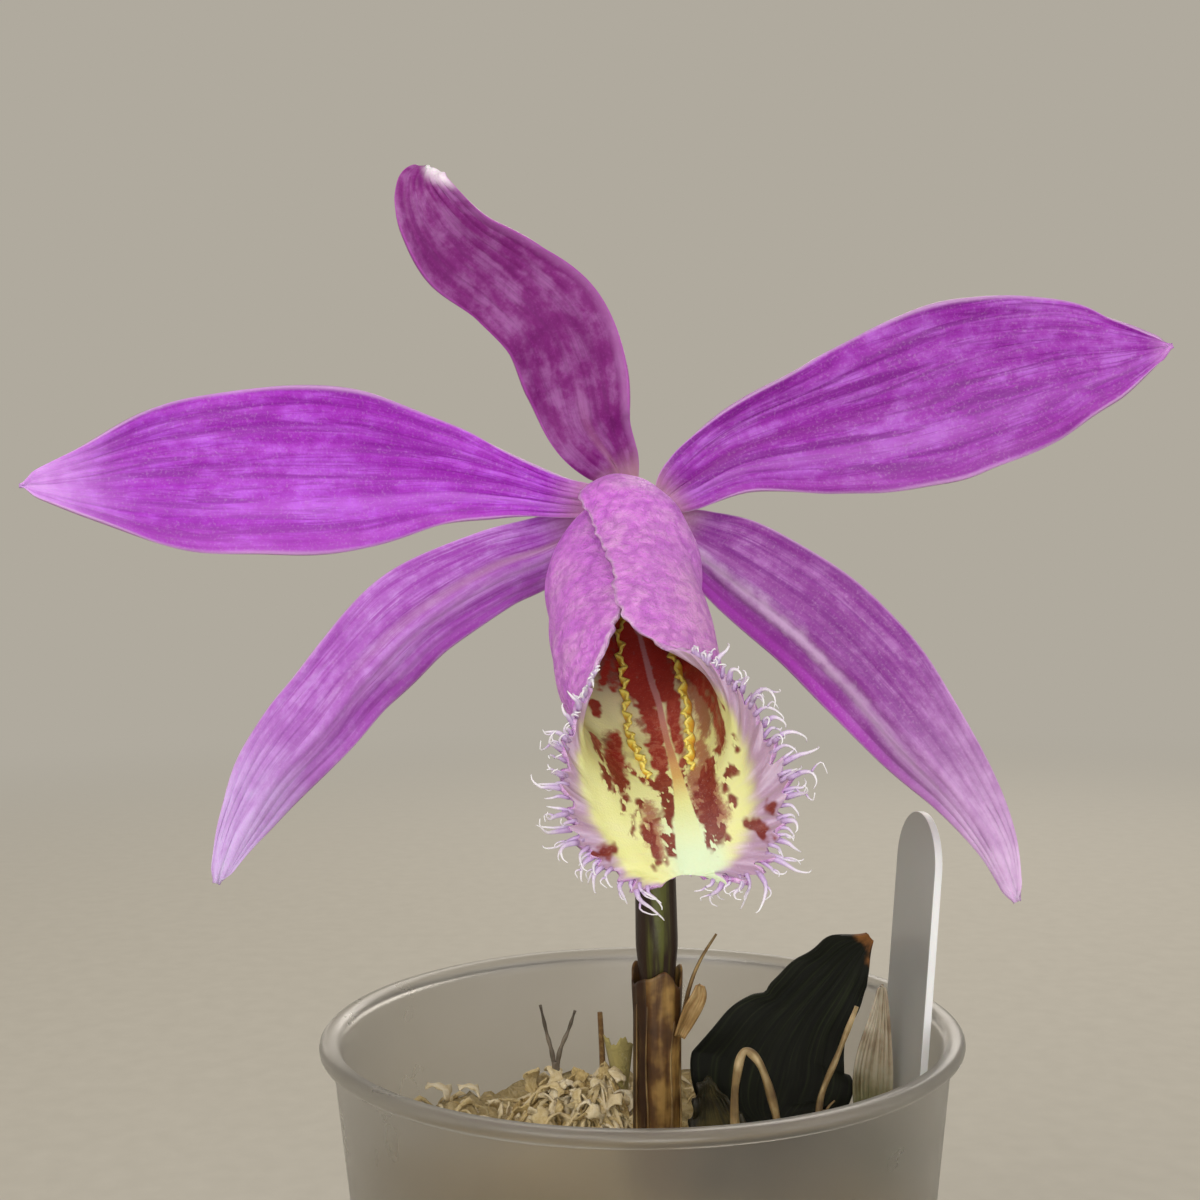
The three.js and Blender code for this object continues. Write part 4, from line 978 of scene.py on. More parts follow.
# %% Finish of stem and ovary
def stem_tissue(name, dark, warm, green, green_low, green_high):
    """Orchid stem, grown: smooth and waxy, green under purple-brown flecks that run along it; the
    green is shown only where it faces the front, a painted highlight.
    """
    made, tree, spot = blank_finish(name)
    uv = node(tree, "UVMap", uv_map="UVMap")
    place = node(tree, "Mapping", {0: uv, "Scale": (14, 9, 1)})
    flecks = node(tree, "TexNoise", {"Vector": place, "Scale": 1.0, "Detail": 5.0})
    colour = layer(tree, dark, warm, flecks)
    # The green shows only where the stem faces the front: a painted highlight where the front light
    # falls.
    front = node(tree, "SeparateXYZ", {0: node(tree, "NewGeometry", out="True Normal")}, out=1)
    front_highlight = node(tree, "MapRange", {0: front, 1: -0.72, 2: -1.0}, **SOFT)
    patches = node(tree, "MapRange", {0: flecks, 1: green_low, 2: green_high}, **SOFT)
    share = node(tree, "Math", {0: front_highlight, 1: patches}, **TIMES)
    colour = layer(tree, colour, green, share)
    grain = node(tree, "TexNoise", {"Vector": spot, "Scale": PER_MM / 0.3, "Detail": 2.0})
    height = node(tree, "Math", {0: flecks, 1: 0.8, 2: grain}, **TIMES_PLUS)
    close_finish(tree, colour, 0.4, height, 0.25, 0.1)
    return made


scape_tissue = stem_tissue("stem_tissue_dark", "#1A100A", "#342014", "#545820", 0.35, 0.65)
ovary_tissue = stem_tissue("ovary_tissue_dark", "#4A2A34", "#6A4038", "#6A6A40", 0.4, 0.7)

# %% Stem, ovary and column
SCAPE = [[1.5, 0, 31], [1.5, 0, 45], [1.7, 0.2, 63], [1.5, 1.0, 80], [1.2, 1.8, 91]]
scape_line = through(SCAPE)


def scape_radius(t, angle):
    z = scape_line(t)[..., 2]
    body = (1.7 + 0.35 * ease(z, 62, 66)) * (1 - 0.12 * ease(z, 90, 91))
    return body + 0.03 * np.cos(5 * angle + 2 * t) + 0.04 * np.sin(z / 3.1)


lay_rods("scape_living", [(SCAPE, scape_radius, 40, 90)], scape_tissue, ["scape"])

OVARY = np.array([[1.2, 5.84, -17.3], [1, 6, -11], [0.7, 5.2, -5], [0.3, 3.6, -0.8],
                  [0.1, 2.2, 0.1], [0, 0.4, 0.35]]) + FLOWER
COLUMN = np.array([[0, 0.3, 0.1], [-0.1, -3, -0.7], [-0.5, -8, -3], [-0.9, -12.5, -5.6]]) + FLOWER
column_tissue = petal_tissue("column_tissue", "#B070B8", "#D0A0D4", "#E4C4E4", "#E8DCC8",
                             "#F0ECC8", 3.3, "#D8B0D8", 0.6)


def ovary_radius(t, angle):
    body = 1.7 + 0.5 * np.sin(3 * t) + 0.5 * ease(t, 0.88, 1)
    return body * (1 + 0.07 * np.cos(3 * angle) + 0.02 * np.cos(6 * angle))


def column_radius(t, angle):
    body = (1.05 + 0.65 * t) * (1 - 0.35 * ease(t, 0.9, 1)) * (1 + 0.04 * np.cos(2 * angle))
    return body - 0.12 * np.exp(-((t - 0.86) / 0.02) ** 2)


lay_rods("ovary_living", [(OVARY, ovary_radius, 42, 60)], ovary_tissue, ["ovary"])
lay_rods("column_living", [(COLUMN, column_radius, 28, 60)], column_tissue,
         ["column"])

# %% [markdown]
# ## Pot
# A thin tapered pot of frosted polypropylene, blown or moulded, with a small rolled rim. The
# plastic scatters light: what lies behind it shows only as soft patches of colour. It is turned
# from its section with the spin operator, and its floor is filled round six drain holes.

# %% Finish of the pot
frosted_plastic, tree, spot = blank_finish("polypropylene_frosted")
haze = node(tree, "TexNoise", {"Vector": spot, "Scale": PER_MM / 9, "Detail": 4.0})
draw_place = node(tree, "Mapping", {0: spot, "Scale": (1, 1, 0.12)})
drawn = node(tree, "TexNoise", {"Vector": draw_place, "Scale": PER_MM / 2.5, "Detail": 0.0})
colour = layer(tree, "#CFCCC6", "#DEDBD6", haze)
rough = node(tree, "MapRange", {0: haze, 1: 0.3, 2: 0.7, 3: 0.26, 4: 0.38})
close_finish(tree, colour, rough, drawn, 0.09, 0.1, ior=1.49, more={"Transmission Weight": 0.94})

# %% Turn the pot
POT_HEIGHT, RIM_RADIUS, BEAD_HEIGHT, BEAD_STEP = 58, 31, 1.4, 1.2
WALL_TAPER, WALL, FLOOR = 0.1086, 0.9, 1.4
DRAIN_RADIUS, DRAIN_RING, DRAIN_COUNT = 2.2, 14, 6
FLOOR_EDGE = 20
WELD = 1e-6


def wall_radius(z):
    return RIM_RADIUS - BEAD_STEP - (POT_HEIGHT - BEAD_HEIGHT - z) * WALL_TAPER


def turn_section(mesh, section, steps):
    """Turns a line of [radius, height] points round the axis of the pot."""
    line = [mesh.verts.new(Vector((r, 0, z)) * MM) for r, z in section]
    edges = [mesh.edges.new(pair) for pair in zip(line, line[1:])]
    bmesh.ops.spin(mesh, geom=line + edges, cent=(0, 0, 0), axis=(0, 0, 1), angle=math.tau,
                   steps=steps, use_merge=True, use_duplicate=False)
    bmesh.ops.remove_doubles(mesh, verts=mesh.verts, dist=WELD)


def drain_places(level):
    """The middles of the drain holes at one level of the floor."""
    turns = [math.tau * (k + 0.5) / DRAIN_COUNT for k in range(DRAIN_COUNT)]
    return [Vector((DRAIN_RING * math.cos(t), DRAIN_RING * math.sin(t), level)) * MM
            for t in turns]


bead = []
for k in range(9):
    turn = math.radians(-90 + 180 * k / 8)
    bead.append([RIM_RADIUS - 0.7 + 0.7 * math.cos(turn),
                 POT_HEIGHT - 0.7 + 0.7 * math.sin(turn)])
section = [[FLOOR_EDGE, 0], [wall_radius(0) - 0.9, 0], [wall_radius(0) - 0.3, 0.25],
           [wall_radius(0.9), 0.9], [wall_radius(20), 20], [wall_radius(40), 40],
           [wall_radius(56.2) - 0.02, 56.2], [wall_radius(56.6) + 0.15, 56.55], *bead,
           [RIM_RADIUS - 1.5, 57.95], [wall_radius(57) - WALL + 0.1, 57.4],
           [wall_radius(56) - WALL, 56], [wall_radius(40) - WALL, 40],
           [wall_radius(20) - WALL, 20], [wall_radius(3.2) - WALL, 3.2],
           [wall_radius(2) - WALL - 0.4, 2], [wall_radius(1.4) - WALL - 1.4, FLOOR],
           [FLOOR_EDGE, FLOOR]]
mesh = new_mesh()
turn_section(mesh, section, 192)
for level in (0, FLOOR):
    rim_edges = [e for e in mesh.edges if e.is_boundary
                 and all(abs(p.co.z - level * MM) < WELD for p in e.verts)]
    for at in drain_places(level):
        ring = bmesh.ops.create_circle(mesh, segments=24, radius=DRAIN_RADIUS * MM,
                                       matrix=Matrix.Translation(at))["verts"]
        rim_edges += list({e for p in ring for e in p.link_edges})
    bmesh.ops.triangle_fill(mesh, use_beauty=True, use_dissolve=False, edges=rim_edges)
open_edges = [e for e in mesh.edges if e.is_boundary]
for at in drain_places(0):
    pair = [e for e in open_edges
            if (Vector((*e.verts[0].co.xy, 0)) - at).length < (DRAIN_RADIUS + 0.5) * MM]
    bmesh.ops.bridge_loops(mesh, edges=pair)
print("open edges left in the pot:", sum(e.is_boundary for e in mesh.edges))
settle(mesh, "pot_frosted", [frosted_plastic], ["pot"], closed=True)

# %% [markdown]
# ## Sphagnum
# The pot is filled with dried sphagnum: a springy tangle of pale strands, each thickly set with
# tiny scale leaves. The filling is turned like the pot and its top is pressed into the mounds of
# its solid; loose strands, bent and beaded, lie over it and hide the smooth surface. A stub of
# dead root stands up among them.

# %% Finish of the moss
def dry_moss(name, bump):
    """Sphagnum, dried: straw coloured, from bleached cream to brown with a few green strands."""
    made, tree, spot = blank_finish(name)
    tone = node(tree, "Attribute", out="Fac", attribute_name="tone")
    strands = node(tree, "TexNoise", {"Vector": spot, "Scale": PER_MM / 1.1, "Detail": 6.0,
                   "Roughness": 0.7, "Distortion": 1.5})
    fine = node(tree, "TexNoise", {"Vector": spot, "Scale": PER_MM / 0.3, "Detail": 3.0})
    mixed = node(tree, "Math", {0: strands, 1: 0.9, 2: tone}, **TIMES_PLUS)
    shifted = node(tree, "Math", {0: mixed, 1: 0.45}, operation="SUBTRACT")
    colour = node(tree, "ValToRGB", {0: shifted}, stops=[
        (0.0, "#6A4C28"), (0.22, "#A08650"), (0.42, "#C8B27C"), (0.62, "#DECDA2"),
        (0.85, "#EEE4CA"), (1.0, "#A2965C")])
    height = node(tree, "Math", {0: strands, 1: 2.0, 2: fine}, **TIMES_PLUS)
    close_finish(tree, colour, 0.85, height, 0.8, bump, more={"Sheen Weight": 0.1})
    return made


moss_finish = dry_moss("sphagnum_dried", 0.5)
strand_finish = dry_moss("sphagnum_strands", 0.15)

# %% Filling
MOSS_LEVEL, MOSS_REACH = 44.2, 27
GAP, TOP_MARK = 0.3, 100
MOUNDS = [[-7.5, 3, 6.5, 5.4], [-2.5, 4.5, 3.5, 3], [-20, 9, 6, 2.6], [0, -12, 9, 1.2],
          [13, 5, 9, -4.6]]


def moss_height(x, y):
    z = MOSS_LEVEL + 0 * x
    for mx, my, reach, rise in MOUNDS:
        z = z + rise * np.exp(-((x - mx) ** 2 + (y - my) ** 2) / reach ** 2)
    z = z + 0.8 * np.sin(x * 0.9 + 1.3 * np.sin(y * 0.7)) * np.cos(y * 0.8 + 0.6)
    return z + 0.5 * np.sin(x * 1.9 - y * 1.3)


foot = FLOOR + GAP
profile = [[0.0, foot], [10, foot], [wall_radius(foot) - WALL - GAP - 1.6, foot],
           [wall_radius(foot + 1.6) - WALL - GAP, foot + 1.6]]
profile += [[wall_radius(z) - WALL - GAP, z] for z in range(6, 44, 3)]
profile += [[MOSS_REACH * k / 36, TOP_MARK + k * 0.01] for k in range(36, -1, -1)]
mesh = new_mesh(["tone"])
turn_section(mesh, profile, 160)
write_field(mesh, "tone", mesh.verts, [0.42] * len(mesh.verts))
for point in mesh.verts:
    x, y, z = point.co * PER_MM
    if z > TOP_MARK - 1:
        level = moss_height(x, y) - 0.35 + 0.35 * float(swell(x * 1.6, y * 1.6, 40))
        out = math.hypot(x, y)
        scale = (wall_radius(level) - WALL - GAP) / MOSS_REACH if out > MOSS_REACH - 1 else 1
        point.co = Vector((x * scale, y * scale, level)) * MM
    elif z > foot + 1:
        dent = 0.25 + 0.1 * float(swell(math.atan2(y, x) * 30, z / 1.6, 41))
        point.co = Vector((x * (1 - dent / 25), y * (1 - dent / 25), z)) * MM
settle(mesh, "moss_filling", [moss_finish], ["moss"], closed=True)

# %% Loose strands
BARE = [[1.5, 0, 2.9], [13, 5, 4.5], [25.5, 3.5, 2.0]]
STRANDS, STRAND_REACH, RIM_REACH = 950, 25.5, 25.6
THIN_LEFT_OF, THIN_BEHIND = -13, -8
moss_draw = random.Random(23)
mesh = new_mesh(["tone"])
for k in range(STRANDS):
    heaped = k % 3 == 0
    mound = MOUNDS[(k // 3) % 3]
    turn = moss_draw.uniform(0, math.tau)
    reach = mound[2] * 1.1 if heaped else STRAND_REACH
    far = reach * math.sqrt(moss_draw.random())
    x = (mound[0] if heaped else 0) + far * math.cos(turn)
    y = (mound[1] if heaped else 0) + far * math.sin(turn)
    heading = moss_draw.uniform(0, math.tau)
    length = moss_draw.uniform(2.2, 6.5)
    lift = moss_draw.uniform(0.1, 1.0 if heaped else 0.6)
    sway = moss_draw.uniform(-0.5, 0.5)
    tone = moss_draw.choice([0.3, 0.42, 0.5, 0.55, 0.62, 0.7])
    thick = moss_draw.uniform(0.16, 0.42)
    beads = moss_draw.uniform(5, 9)
    if any(math.hypot(x - bx, y - by) < clear for bx, by, clear in BARE):
        continue
    if x < THIN_LEFT_OF and y > THIN_BEHIND and k % 5:
        continue
    knots = []
    for s in (-0.5, -0.17, 0.17, 0.5):
        px = x + s * length * math.cos(heading) - sway * length * (s * s) * math.sin(heading)
        py = y + s * length * math.sin(heading) + sway * length * (s * s) * math.cos(heading)
        hold = min(1, RIM_REACH / max(math.hypot(px, py), 1e-6))
        rise = lift * (1 - 4 * s * s) - 0.25
        knots.append([px * hold, py * hold, float(moss_height(px * hold, py * hold)) + rise])
    rod(mesh, through(knots),
        lambda t, a: thick * (0.75 + 0.3 * np.sin(beads * math.tau * t + 1.3 * np.cos(a)))
        * (1 - 0.6 * np.abs(2 * t - 1) ** 3), sides=5, rows=9, tone=tone)

STUB = [[-3.9, 6.2, 48], [-3.8, 6.2, 52], [-4.0, 6.2, 57.2]]
rod(mesh, through(STUB), lambda t, a: 0.36 - 0.08 * t, sides=6, rows=8, tone=0.05)
settle(mesh, "moss_strands", [strand_finish], closed=True)

# %% [markdown]
# Left of the stem the moss is heaped in crisp bleached curls, and a few pale scraps stick up over
# the rim. They are short wide strips with a curl of their own, laid by a few measured places. One
# greenish scrap stands upright beside the stem.

# %% Bleached curls and scraps
def curl(mesh, centre, size, turn, tilt, bend, tone, seed, start=None):
    """A short strip of dead moss that rolls up on itself."""
    draw = random.Random(seed)
    wave, drawn_start = draw.uniform(0.1, 0.3), draw.uniform(0, math.tau)
    start = drawn_start if start is None else start

    def place(u, v):
        angle = start + bend * u
        r = size * (0.5 + 0.5 * u)
        wide = size * (0.34 + 0.14 * np.sin(5 * u + start) + 0.08 * np.sin(17 * u + 3 * v))
        spot = np.stack([r * np.cos(angle), wide * v * (1 + wave * np.sin(9 * u)),
                         r * np.sin(angle)], -1)
        spot = spot + 0.1 * np.stack([np.sin(7 * v + 3 * u), np.cos(5 * u), np.sin(4 * u + v)], -1)
        spin = np.array(Matrix.Rotation(turn, 3, "Z") @ Matrix.Rotation(tilt, 3, "X"))
        return spot @ spin.T + np.array(centre)

    points, _, _ = sheet(mesh, 4, 14, place)
    write_field(mesh, "tone", points, [tone] * len(points))


CURLS, HEAP_REACH, CURL_WALL = 84, 6.6, 0.16
mesh = new_mesh(["tone"])
curl_draw = random.Random(5)
for k in range(CURLS):
    turn = curl_draw.uniform(0, math.tau)
    far = HEAP_REACH * math.sqrt(curl_draw.random())
    x, y = -7.0 + far * math.cos(turn), 3.4 + far * math.sin(turn)
    size = curl_draw.uniform(0.9, 2.1)
    z = float(moss_height(x, y)) + curl_draw.uniform(0.1, 0.9)
    curl(mesh, (x, y, z), size, curl_draw.uniform(0, math.tau), curl_draw.uniform(-1.1, 1.1),
         curl_draw.uniform(1.6, 3.6), curl_draw.uniform(0.35, 0.85), k)
SCRAPS = [[-24.2, 6, 1.2], [-20.8, 10, 2.3], [-17.6, 9.5, 2.1], [-15, 9, 1.3]]
for k, (x, y, size) in enumerate(SCRAPS):
    z = float(moss_height(x, y)) + size * 0.45
    curl(mesh, (x, y, z), size, 0.3 * k - 0.4, 0.2, 1.7, 0.72, 80 + k, 0.5)


def shard(u, v):
    """A greenish scrap that stands upright beside the stem and widens to a torn top."""
    x = -1.9 - 0.3 * u + (0.45 + u) * v
    y = 3.6 - 0.5 * u + 0.8 * v * v
    return np.stack([x, y, 49 + 6.1 * u * (1 + 0.07 * np.sin(5 * v) + 0.03 * np.sin(16 * v))], -1)


points, _, _ = sheet(mesh, 12, 14, shard)
write_field(mesh, "tone", points, [1.1] * len(points))
thicken(settle(mesh, "moss_curls", [strand_finish]), CURL_WALL)

# %% [markdown]
# ## Dead sheath at the foot of the stem
# Scale leaves wrap the foot of the stem and dry to brown paper that splits along its fibres. The
# tube is the sheet of its solid with a ragged upper edge; a straw flake and fine fibres stand
# beside it.

# %% Finish of dry papery tissue
def papery(name, dark, mid, pale, across_scale, rough, stain_from=2, foot="#000000",
           foot_share=0.0):
    """Dead leaf sheath: thin dry paper whose fibres run along it. A sheath darkens beyond
    stain_from, where rot has stained it, and may still be green at its foot."""
    made, tree, spot = blank_finish(name)
    uv = node(tree, "UVMap", uv_map="UVMap")
    place = node(tree, "Mapping", {0: uv, "Scale": (across_scale, 2.5, 1)})
    fibres = node(tree, "TexNoise", {"Vector": place, "Scale": 1.0, "Detail": 4.0,
                  "Distortion": 0.4})
    patches = node(tree, "TexNoise", {"Vector": spot, "Scale": PER_MM / 3, "Detail": 3.0})
    mixed = node(tree, "Math", {0: fibres, 1: 0.6, 2: patches}, **TIMES_PLUS)
    colour = node(tree, "ValToRGB", {0: mixed}, stops=[(0.55, dark), (0.78, mid), (1.0, pale)])
    around, up = (node(tree, "SeparateXYZ", {0: uv}, out=axis) for axis in (0, 1))
    colour = layer(tree, colour, dark, around, stain_from, stain_from + 0.1, 0.8)
    colour = layer(tree, colour, foot, up, 0.62, 0.3, foot_share)
    close_finish(tree, colour, rough, fibres, 0.7, 0.15, flesh=(0.1, 0.3))
    return made


brown_paper = papery("leaf_sheath_dead_brown", "#2A180E", "#523618", "#94743E", 16, 0.45, 0.76)
straw_paper = papery("leaf_sheath_dead_straw", "#5C4224", "#907244", "#BCA070", 12, 0.6)
pale_paper = papery("leaf_sheath_dead_pale", "#6E5840", "#ACA088", "#D0C8B4", 14, 0.55,
                    foot="#666C40", foot_share=0.8)
dead_fibre = papery("root_dead_fibre", "#5A4630", "#8E7850", "#CDB88C", 3, 0.5)
brown_fibre = papery("sheath_fibre_dead", "#3A2A18", "#6A5230", "#A08858", 3, 0.5)
dark_fibre = papery("root_dead_dark", "#3A322A", "#5E564A", "#7E7466", 3, 0.6)

# %% Sheath, flake and fibres
SHEATH_INNER, SHEATH_FOOT, SHEATH_TOP = 2.05, 39.6, 63
PAPER_WALL, FLAKE_WALL = 0.2, 0.22
scape_share = np.linspace(0, 1, 400)
scape_points = scape_line(scape_share)


def sheath_tube(u, v):
    angle = 3.3 * v + 0.9
    top = SHEATH_TOP - 0.4 + 0.7 * np.sin(3 * angle) + 0.35 * np.sin(5 * angle + 1)
    z = SHEATH_FOOT + (top - SHEATH_FOOT) * u
    centre_x = np.interp(z, scape_points[:, 2], scape_points[:, 0])
    centre_y = np.interp(z, scape_points[:, 2], scape_points[:, 1])
    flare = 0.10 * ease(u, 0.8, 1) * (1.3 + np.sin(2 * angle)) - 0.35 * (1 - ease(u, 0, 0.35))
    crinkle = 0.03 * np.sin(13 * angle + 2 * u) + 0.06 * swell(angle * 3, u * 9, 52)
    r = SHEATH_INNER + 0.15 + flare + crinkle + 0.06 * (v + 1)
    return np.stack([centre_x + r * np.cos(angle), centre_y + r * np.sin(angle), z], -1)


lay_sheet("basal_sheath_dry", sheath_tube, 110, 70, PAPER_WALL, brown_paper,
          ["basal_sheath"])

FLAKE = [[3.6, -1.4, 57, 0.7, 0.7, 20], [4.7, -1.7, 59.5, 1, 1, 20], [5.4, -1.9, 61, 0.9, 0.9, 20],
         [5.6, -2, 62.2, 0.5, 0.5, 20]]
flake = tepal_surface(FLAKE, np.zeros(3), cup=0.2)
lay_sheet("sheath_flake", fine_tepal(flake, 6, 61, depth=0.3, furrow=0.05), 12, 26, FLAKE_WALL,
          straw_paper)

FIBRES = [
    ([[3.9, -1.2, 58], [4.8, -1.4, 61.9], [5.9, -1.4, 64.5], [7.4, -1.2, 66.8]], 0.24),
    ([[2.6, -2.1, 44], [2.9, -2.1, 50], [2.8, -2.0, 55], [3.2, -1.8, 58.5]], 0.14),
    ([[0.5, -2.1, 43], [0.6, -2.2, 48], [0.4, -2.1, 54], [0.6, -2.0, 60]], 0.12),
    ([[-0.4, -1.3, 43], [-0.5, -1.3, 49], [-0.45, -1.2, 55], [-0.4, -1.1, 60]], 0.13),
    ([[3.6, -0.9, 44], [3.8, -1.0, 49], [3.7, -0.9, 54], [3.7, -0.8, 59]], 0.12),
]
lay_rods("sheath_fibres", [(knots, lambda t, a, thick=thick: thick * (1 - 0.5 * t), 6, 20)
                           for knots, thick in FIBRES], brown_fibre)

# %% [markdown]
# ## Old leaf, bulb and the bits round them
# The leaf of last year stands behind: thick and dark green, painted nearly black with the shade on
# its face, with fine parallel ribs and a dry brown tip, and a stub of papery leaf base in front of
# its foot. Its bulb sits in the moss, near black too, partly painted shade at the foot of the leaf.
# A pale withered sheath, an arched dead root, a brown strand and a forked twig stand beside it.

# %% Finish of the leaf
shaded_old_leaf, tree, spot = blank_finish("leaf_tissue_old_shaded")
uv = node(tree, "UVMap", uv_map="UVMap")
along = node(tree, "SeparateXYZ", {0: uv}, out=1)
place = node(tree, "Mapping", {0: uv, "Scale": (42, 2.2, 1)})
ribs = node(tree, "TexNoise", {"Vector": place, "Scale": 1.0, "Detail": 3.0})
patches = node(tree, "TexNoise", {"Vector": spot, "Scale": PER_MM / 2.4, "Detail": 4.0})
# Near black: the old leaf's dark green with the shade on its face painted in.
colour = node(tree, "ValToRGB", {0: ribs}, stops=[
    (0.35, "#090B05"), (0.55, "#13160A"), (0.75, "#293018")])
dead = node(tree, "Math", {0: patches, 1: 0.25, 2: along}, **TIMES_PLUS)
dead_share = node(tree, "MapRange", {0: dead, 1: 1.05, 2: 1.12}, **SOFT)
tip = layer(tree, "#5A3820", "#A87038", patches)
colour = layer(tree, colour, tip, dead_share)
colour = layer(tree, colour, "#6A5434", patches, 0.7, 0.76, 0.7)
close_finish(tree, colour, 0.68, ribs, 0.4, 0.12, ior=1.3)

# %% Leaf
BULB_PLACE = np.array([13, 5, 0])
LEAF_WALL = 0.45
LEAF = [[0, 0, 46, 2, 2, 0], [-0.1, 0.4, 47.9, 7.4, 6.6, 0], [0.6, 1, 50.5, 8.9, 7.9, 0],
        [1.6, 1.8, 53.3, 7, 7.2, 0], [3.6, 2.8, 56.2, 5, 5.5, 0], [6.6, 3.8, 59.5, 3.9, 4.1, 0],
        [8.6, 4.6, 61.6, 3, 3, 0], [11, 5.6, 63.6, 0.6, 0.6, 0]]
leaf_surface = tepal_surface(LEAF, BULB_PLACE, cup=0.1, wave=0.3)


def leaf_place(u, v):
    bite = 0.09 * np.exp(-((u - 0.56) / 0.018) ** 2) * ease(v, 0.3, 1)
    pleat = 0.4 + 0.02 * np.cos(v * 23) + 0.12 * swell(u * 5, v * 3, 71)
    spot = leaf_surface(u, v * (1 - bite + 0.012 * swell(u * 26, np.sign(v), 72)))
    return spot + face_of(leaf_surface, u, v) * pleat[..., None]


# Near black, partly painted shade: the dark patch at the foot of the leaf, seen through the pot
# wall; the stub of leaf base wears it too.
bulb_skin = papery("bulb_skin_dark", "#1A1810", "#34301E", "#58502E", 30, 0.5)
mesh = new_mesh()
sheet(mesh, 70, 90, leaf_place)
blade_faces = len(mesh.faces)
LEAF_BASE = [[8.6, 3.0, 42.5, 3.6, 3.4, 0], [8.0, 3.1, 45.5, 3.6, 3.2, 0],
             [7.3, 3.0, 48.2, 2.6, 2.2, 0], [6.7, 2.8, 50.4, 1.4, 1.0, 0],
             [6.5, 2.7, 51.6, 0.4, 0.4, 0]]
sheet(mesh, 30, 40, fine_tepal(tepal_surface(LEAF_BASE, np.zeros(3), cup=0.15, wave=0.4), 9, 77))
mesh.faces.ensure_lookup_table()
for face in mesh.faces[blade_faces:]:
    face.material_index = 1
thicken(settle(mesh, "leaf_old", [shaded_old_leaf, bulb_skin], ["leaf"]), LEAF_WALL)

# %% Bulb
BULB_PROFILE = [[0, 27], [4.2, 27.4], [6.6, 30], [7.6, 34], [7.3, 38], [5.6, 41.4], [3.4, 43.2],
                [2.5, 44.6], [2.3, 45.6], [0, 45.6]]
bulb_line = through([[r, 0, z] for r, z in BULB_PROFILE])


def bulb_place(u, v):
    station = bulb_line(u)
    angle = math.pi * (v + 1)
    r = np.maximum(station[..., 0], 0) * (1 + 0.035 * np.cos(9 * angle) * np.sin(math.pi * u))
    return np.stack([r * np.cos(angle), r * np.sin(angle), station[..., 2]], -1) + BULB_PLACE


mesh = new_mesh()
sheet(mesh, 72, 60, bulb_place)
bmesh.ops.remove_doubles(mesh, verts=mesh.verts, dist=WELD)
settle(mesh, "pseudobulb_living", [bulb_skin], ["pseudobulb"], closed=True)

# %% Withered sheath
WITHERED = [[22.5, 2.7, 39, 1.3, 1.3, 0], [22.7, 2.9, 46, 2, 2, 10], [23, 3, 52, 2.1, 2.1, 5],
            [23.7, 3.2, 57, 1.3, 1.3, 0], [24.2, 3.4, 60.5, 0.6, 0.6, 0]]
withered = tepal_surface(WITHERED, np.zeros(3), cup=0.3)
lay_sheet("withered_sheath_dry", fine_tepal(withered, 22, 81, depth=0.35, furrow=0.15), 36, 80,
          PAPER_WALL, pale_paper, ["withered_sheath"])

# %% Root loop, strand, twig
ROOT_LOOP = [[9, -4.6, 40.5], [8.8, -4.6, 47], [8.8, -4.6, 53], [9.7, -4.6, 56.3],
             [11.2, -4.7, 55], [12.6, -4.8, 50.5], [13, -4.9, 46], [13.4, -5, 40.5]]
lay_rods("dead_root_loop_dry", [
    (ROOT_LOOP, lambda t, a: 0.4 + 0.05 * np.sin(40 * t) + 0.03 * np.cos(3 * a + 30 * t), 12, 90),
], dead_fibre, ["dead_root_loop"])

STRAND = [[17.2, -4.6, 40.5], [16.9, -4, 46], [17, -3.4, 51], [18.8, -3, 55.4], [20.7, -2.8, 60]]
BRANCH = [[17.0, -3.9, 49], [17.6, -4.1, 50.6], [18.3, -4.2, 51.4]]
lay_rods("brown_strand_dry", [
    (STRAND, lambda t, a: 0.38 - 0.14 * t + 0.03 * np.sin(30 * t), 10, 60),
    (BRANCH, lambda t, a: 0.18 - 0.1 * t, 7, 14),
], dead_fibre, ["brown_strand"])

TWIG = [
    ([[-8.3, 5.2, 44], [-8.5, 5, 49], [-8.6, 4.9, 52.6]], 0.34, 0.3),
    ([[-8.5, 5, 51], [-8.9, 4.9, 53.6], [-9.4, 4.8, 55.6], [-10, 4.8, 58.4]], 0.28, 0.14),
    ([[-8.5, 5, 51], [-8.1, 4.9, 53.6], [-7.2, 4.8, 55.8], [-6.5, 4.8, 57.8]], 0.28, 0.14),
]
lay_rods("dead_twig_dry", [
    (knots, lambda t, a, ends=ends: ends[0] + (ends[1] - ends[0]) * t + 0.03 * np.sin(26 * t),
     9, 30)
    for knots, *ends in TWIG], dark_fibre, ["dead_twig"])
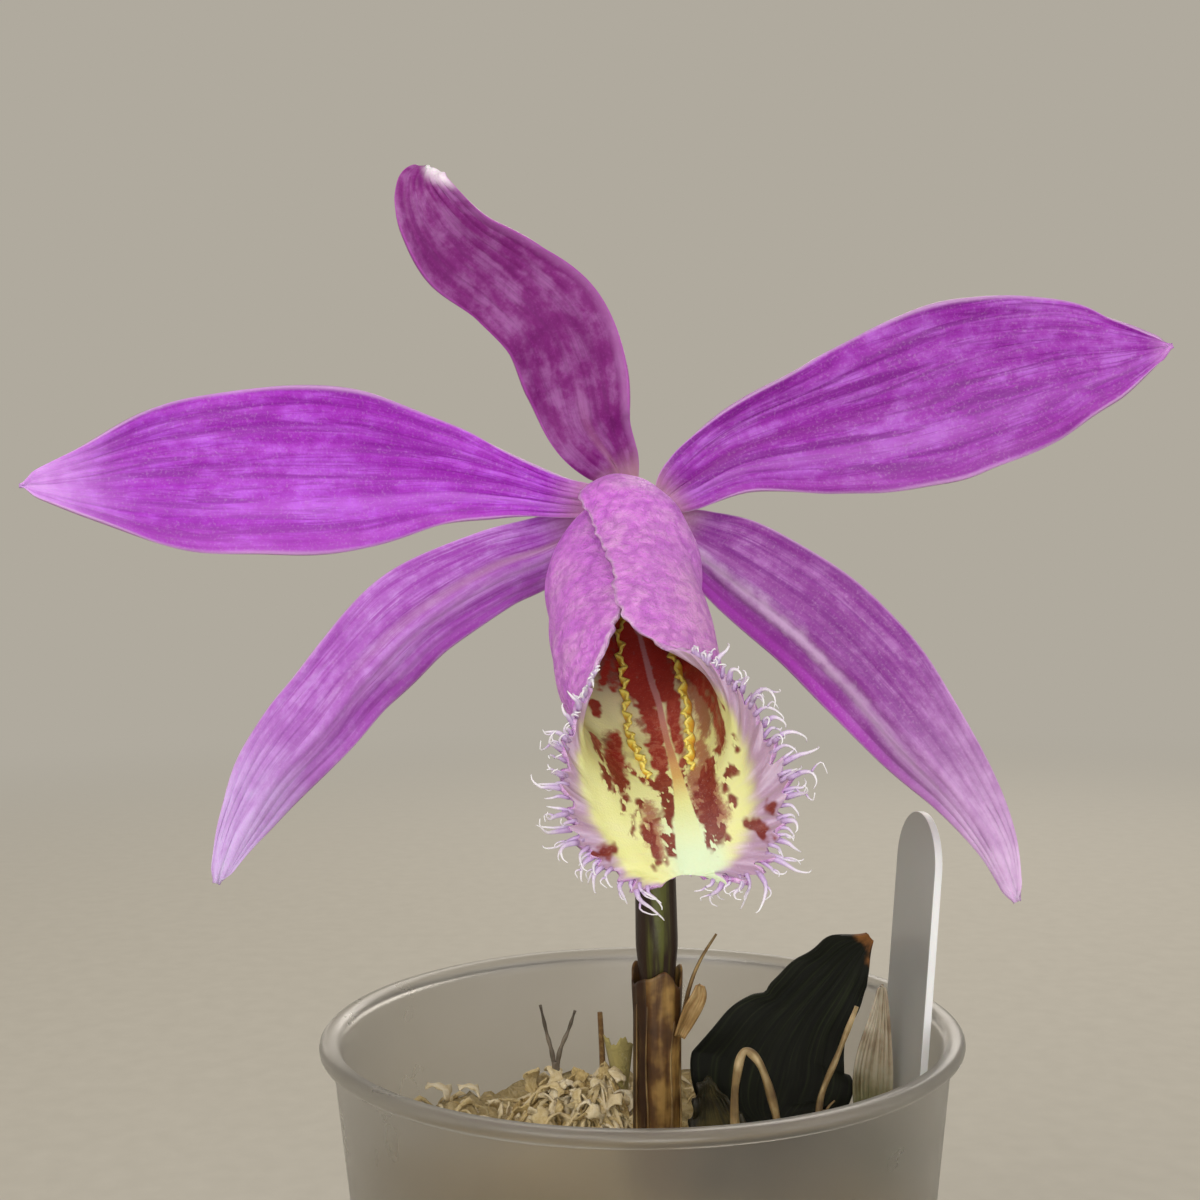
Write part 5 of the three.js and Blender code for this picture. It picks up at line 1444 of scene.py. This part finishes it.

# %% [markdown]
# ## Label
# A plain plastic plant label, punched from white sheet: flat, with a rounded top and barely eased
# edges. Its faces are painted grey, the shade that lies on them, and its edges near white, a
# painted highlight where the light catches them. It is left bare.

# %% Label
def label_sheet(name, low, high):
    """White polystyrene sheet, a little hazy. It is made twice: grey as painted shade on the faces,
    near white as a painted highlight on the cut edges.
    """
    made, tree, spot = blank_finish(name)
    haze = node(tree, "TexNoise", {"Vector": spot, "Scale": PER_MM / 5, "Detail": 4.0})
    grain = node(tree, "TexNoise", {"Vector": spot, "Scale": PER_MM / 0.4, "Detail": 2.0})
    colour = layer(tree, low, high, haze)
    rough = node(tree, "MapRange", {0: haze, 1: 0.3, 2: 0.7, 3: 0.3, 4: 0.45})
    close_finish(tree, colour, rough, grain, 0.1, 0.05, ior=1.55, flesh=(0.1, 0.5))
    return made


# Grey faces are painted shade; near-white cut edges are a painted highlight.
label_face_painted_shade = label_sheet("polystyrene_white_painted_shade", "#B6B8B5", "#C4C6C3")
label_edge_painted_light = label_sheet("polystyrene_edge_painted_highlight", "#EEF1F4", "#FAFBFC")
LABEL_WIDTH, LABEL_THICKNESS, LABEL_HEIGHT = 10.4, 0.8, 36.8
LABEL_PLACE = Vector((25.5, 3.5, 41))
LABEL_LEAN, LABEL_TURN, LABEL_EASE = 0.08, 1.74, 0.12
half = LABEL_WIDTH / 2
mesh = new_mesh()
outline = bmesh.ops.create_circle(mesh, cap_ends=True, segments=64, radius=half)["verts"]
for point in outline:
    x, z = point.co.x, point.co.y
    if z < -1e-4:
        wide = half if abs(x) > half * 0.99 else abs(x)
        point.co = (math.copysign(wide, x), 0, 0)
    else:
        point.co = (x, 0, z + LABEL_HEIGHT - half)
body = bmesh.ops.extrude_face_region(mesh, geom=mesh.faces[:])["geom"]
moved = [p for p in body if isinstance(p, bmesh.types.BMVert)]
bmesh.ops.translate(mesh, vec=(0, LABEL_THICKNESS, 0), verts=moved)
bmesh.ops.translate(mesh, vec=(0, -LABEL_THICKNESS / 2, 0), verts=mesh.verts)
bmesh.ops.recalc_face_normals(mesh, faces=mesh.faces)
rim = [e for e in mesh.edges if len(e.link_faces) == 2 and e.calc_face_angle() > 1]
bmesh.ops.bevel(mesh, geom=rim, offset=LABEL_EASE, segments=2, profile=0.5, affect="EDGES",
                material=-1)
for face in mesh.faces:
    face.material_index = int(abs(face.normal.y) < 0.7)
seat = Matrix.Rotation(LABEL_LEAN, 4, "Y") @ Matrix.Rotation(LABEL_TURN, 4, "Z")
bmesh.ops.transform(mesh, matrix=Matrix.Scale(MM, 4) @ Matrix.Translation(LABEL_PLACE) @ seat,
                    verts=mesh.verts)
piece = settle(mesh, "plant_label_plain", [label_face_painted_shade, label_edge_painted_light],
               ["plant_label"])
piece.data.shade_flat()
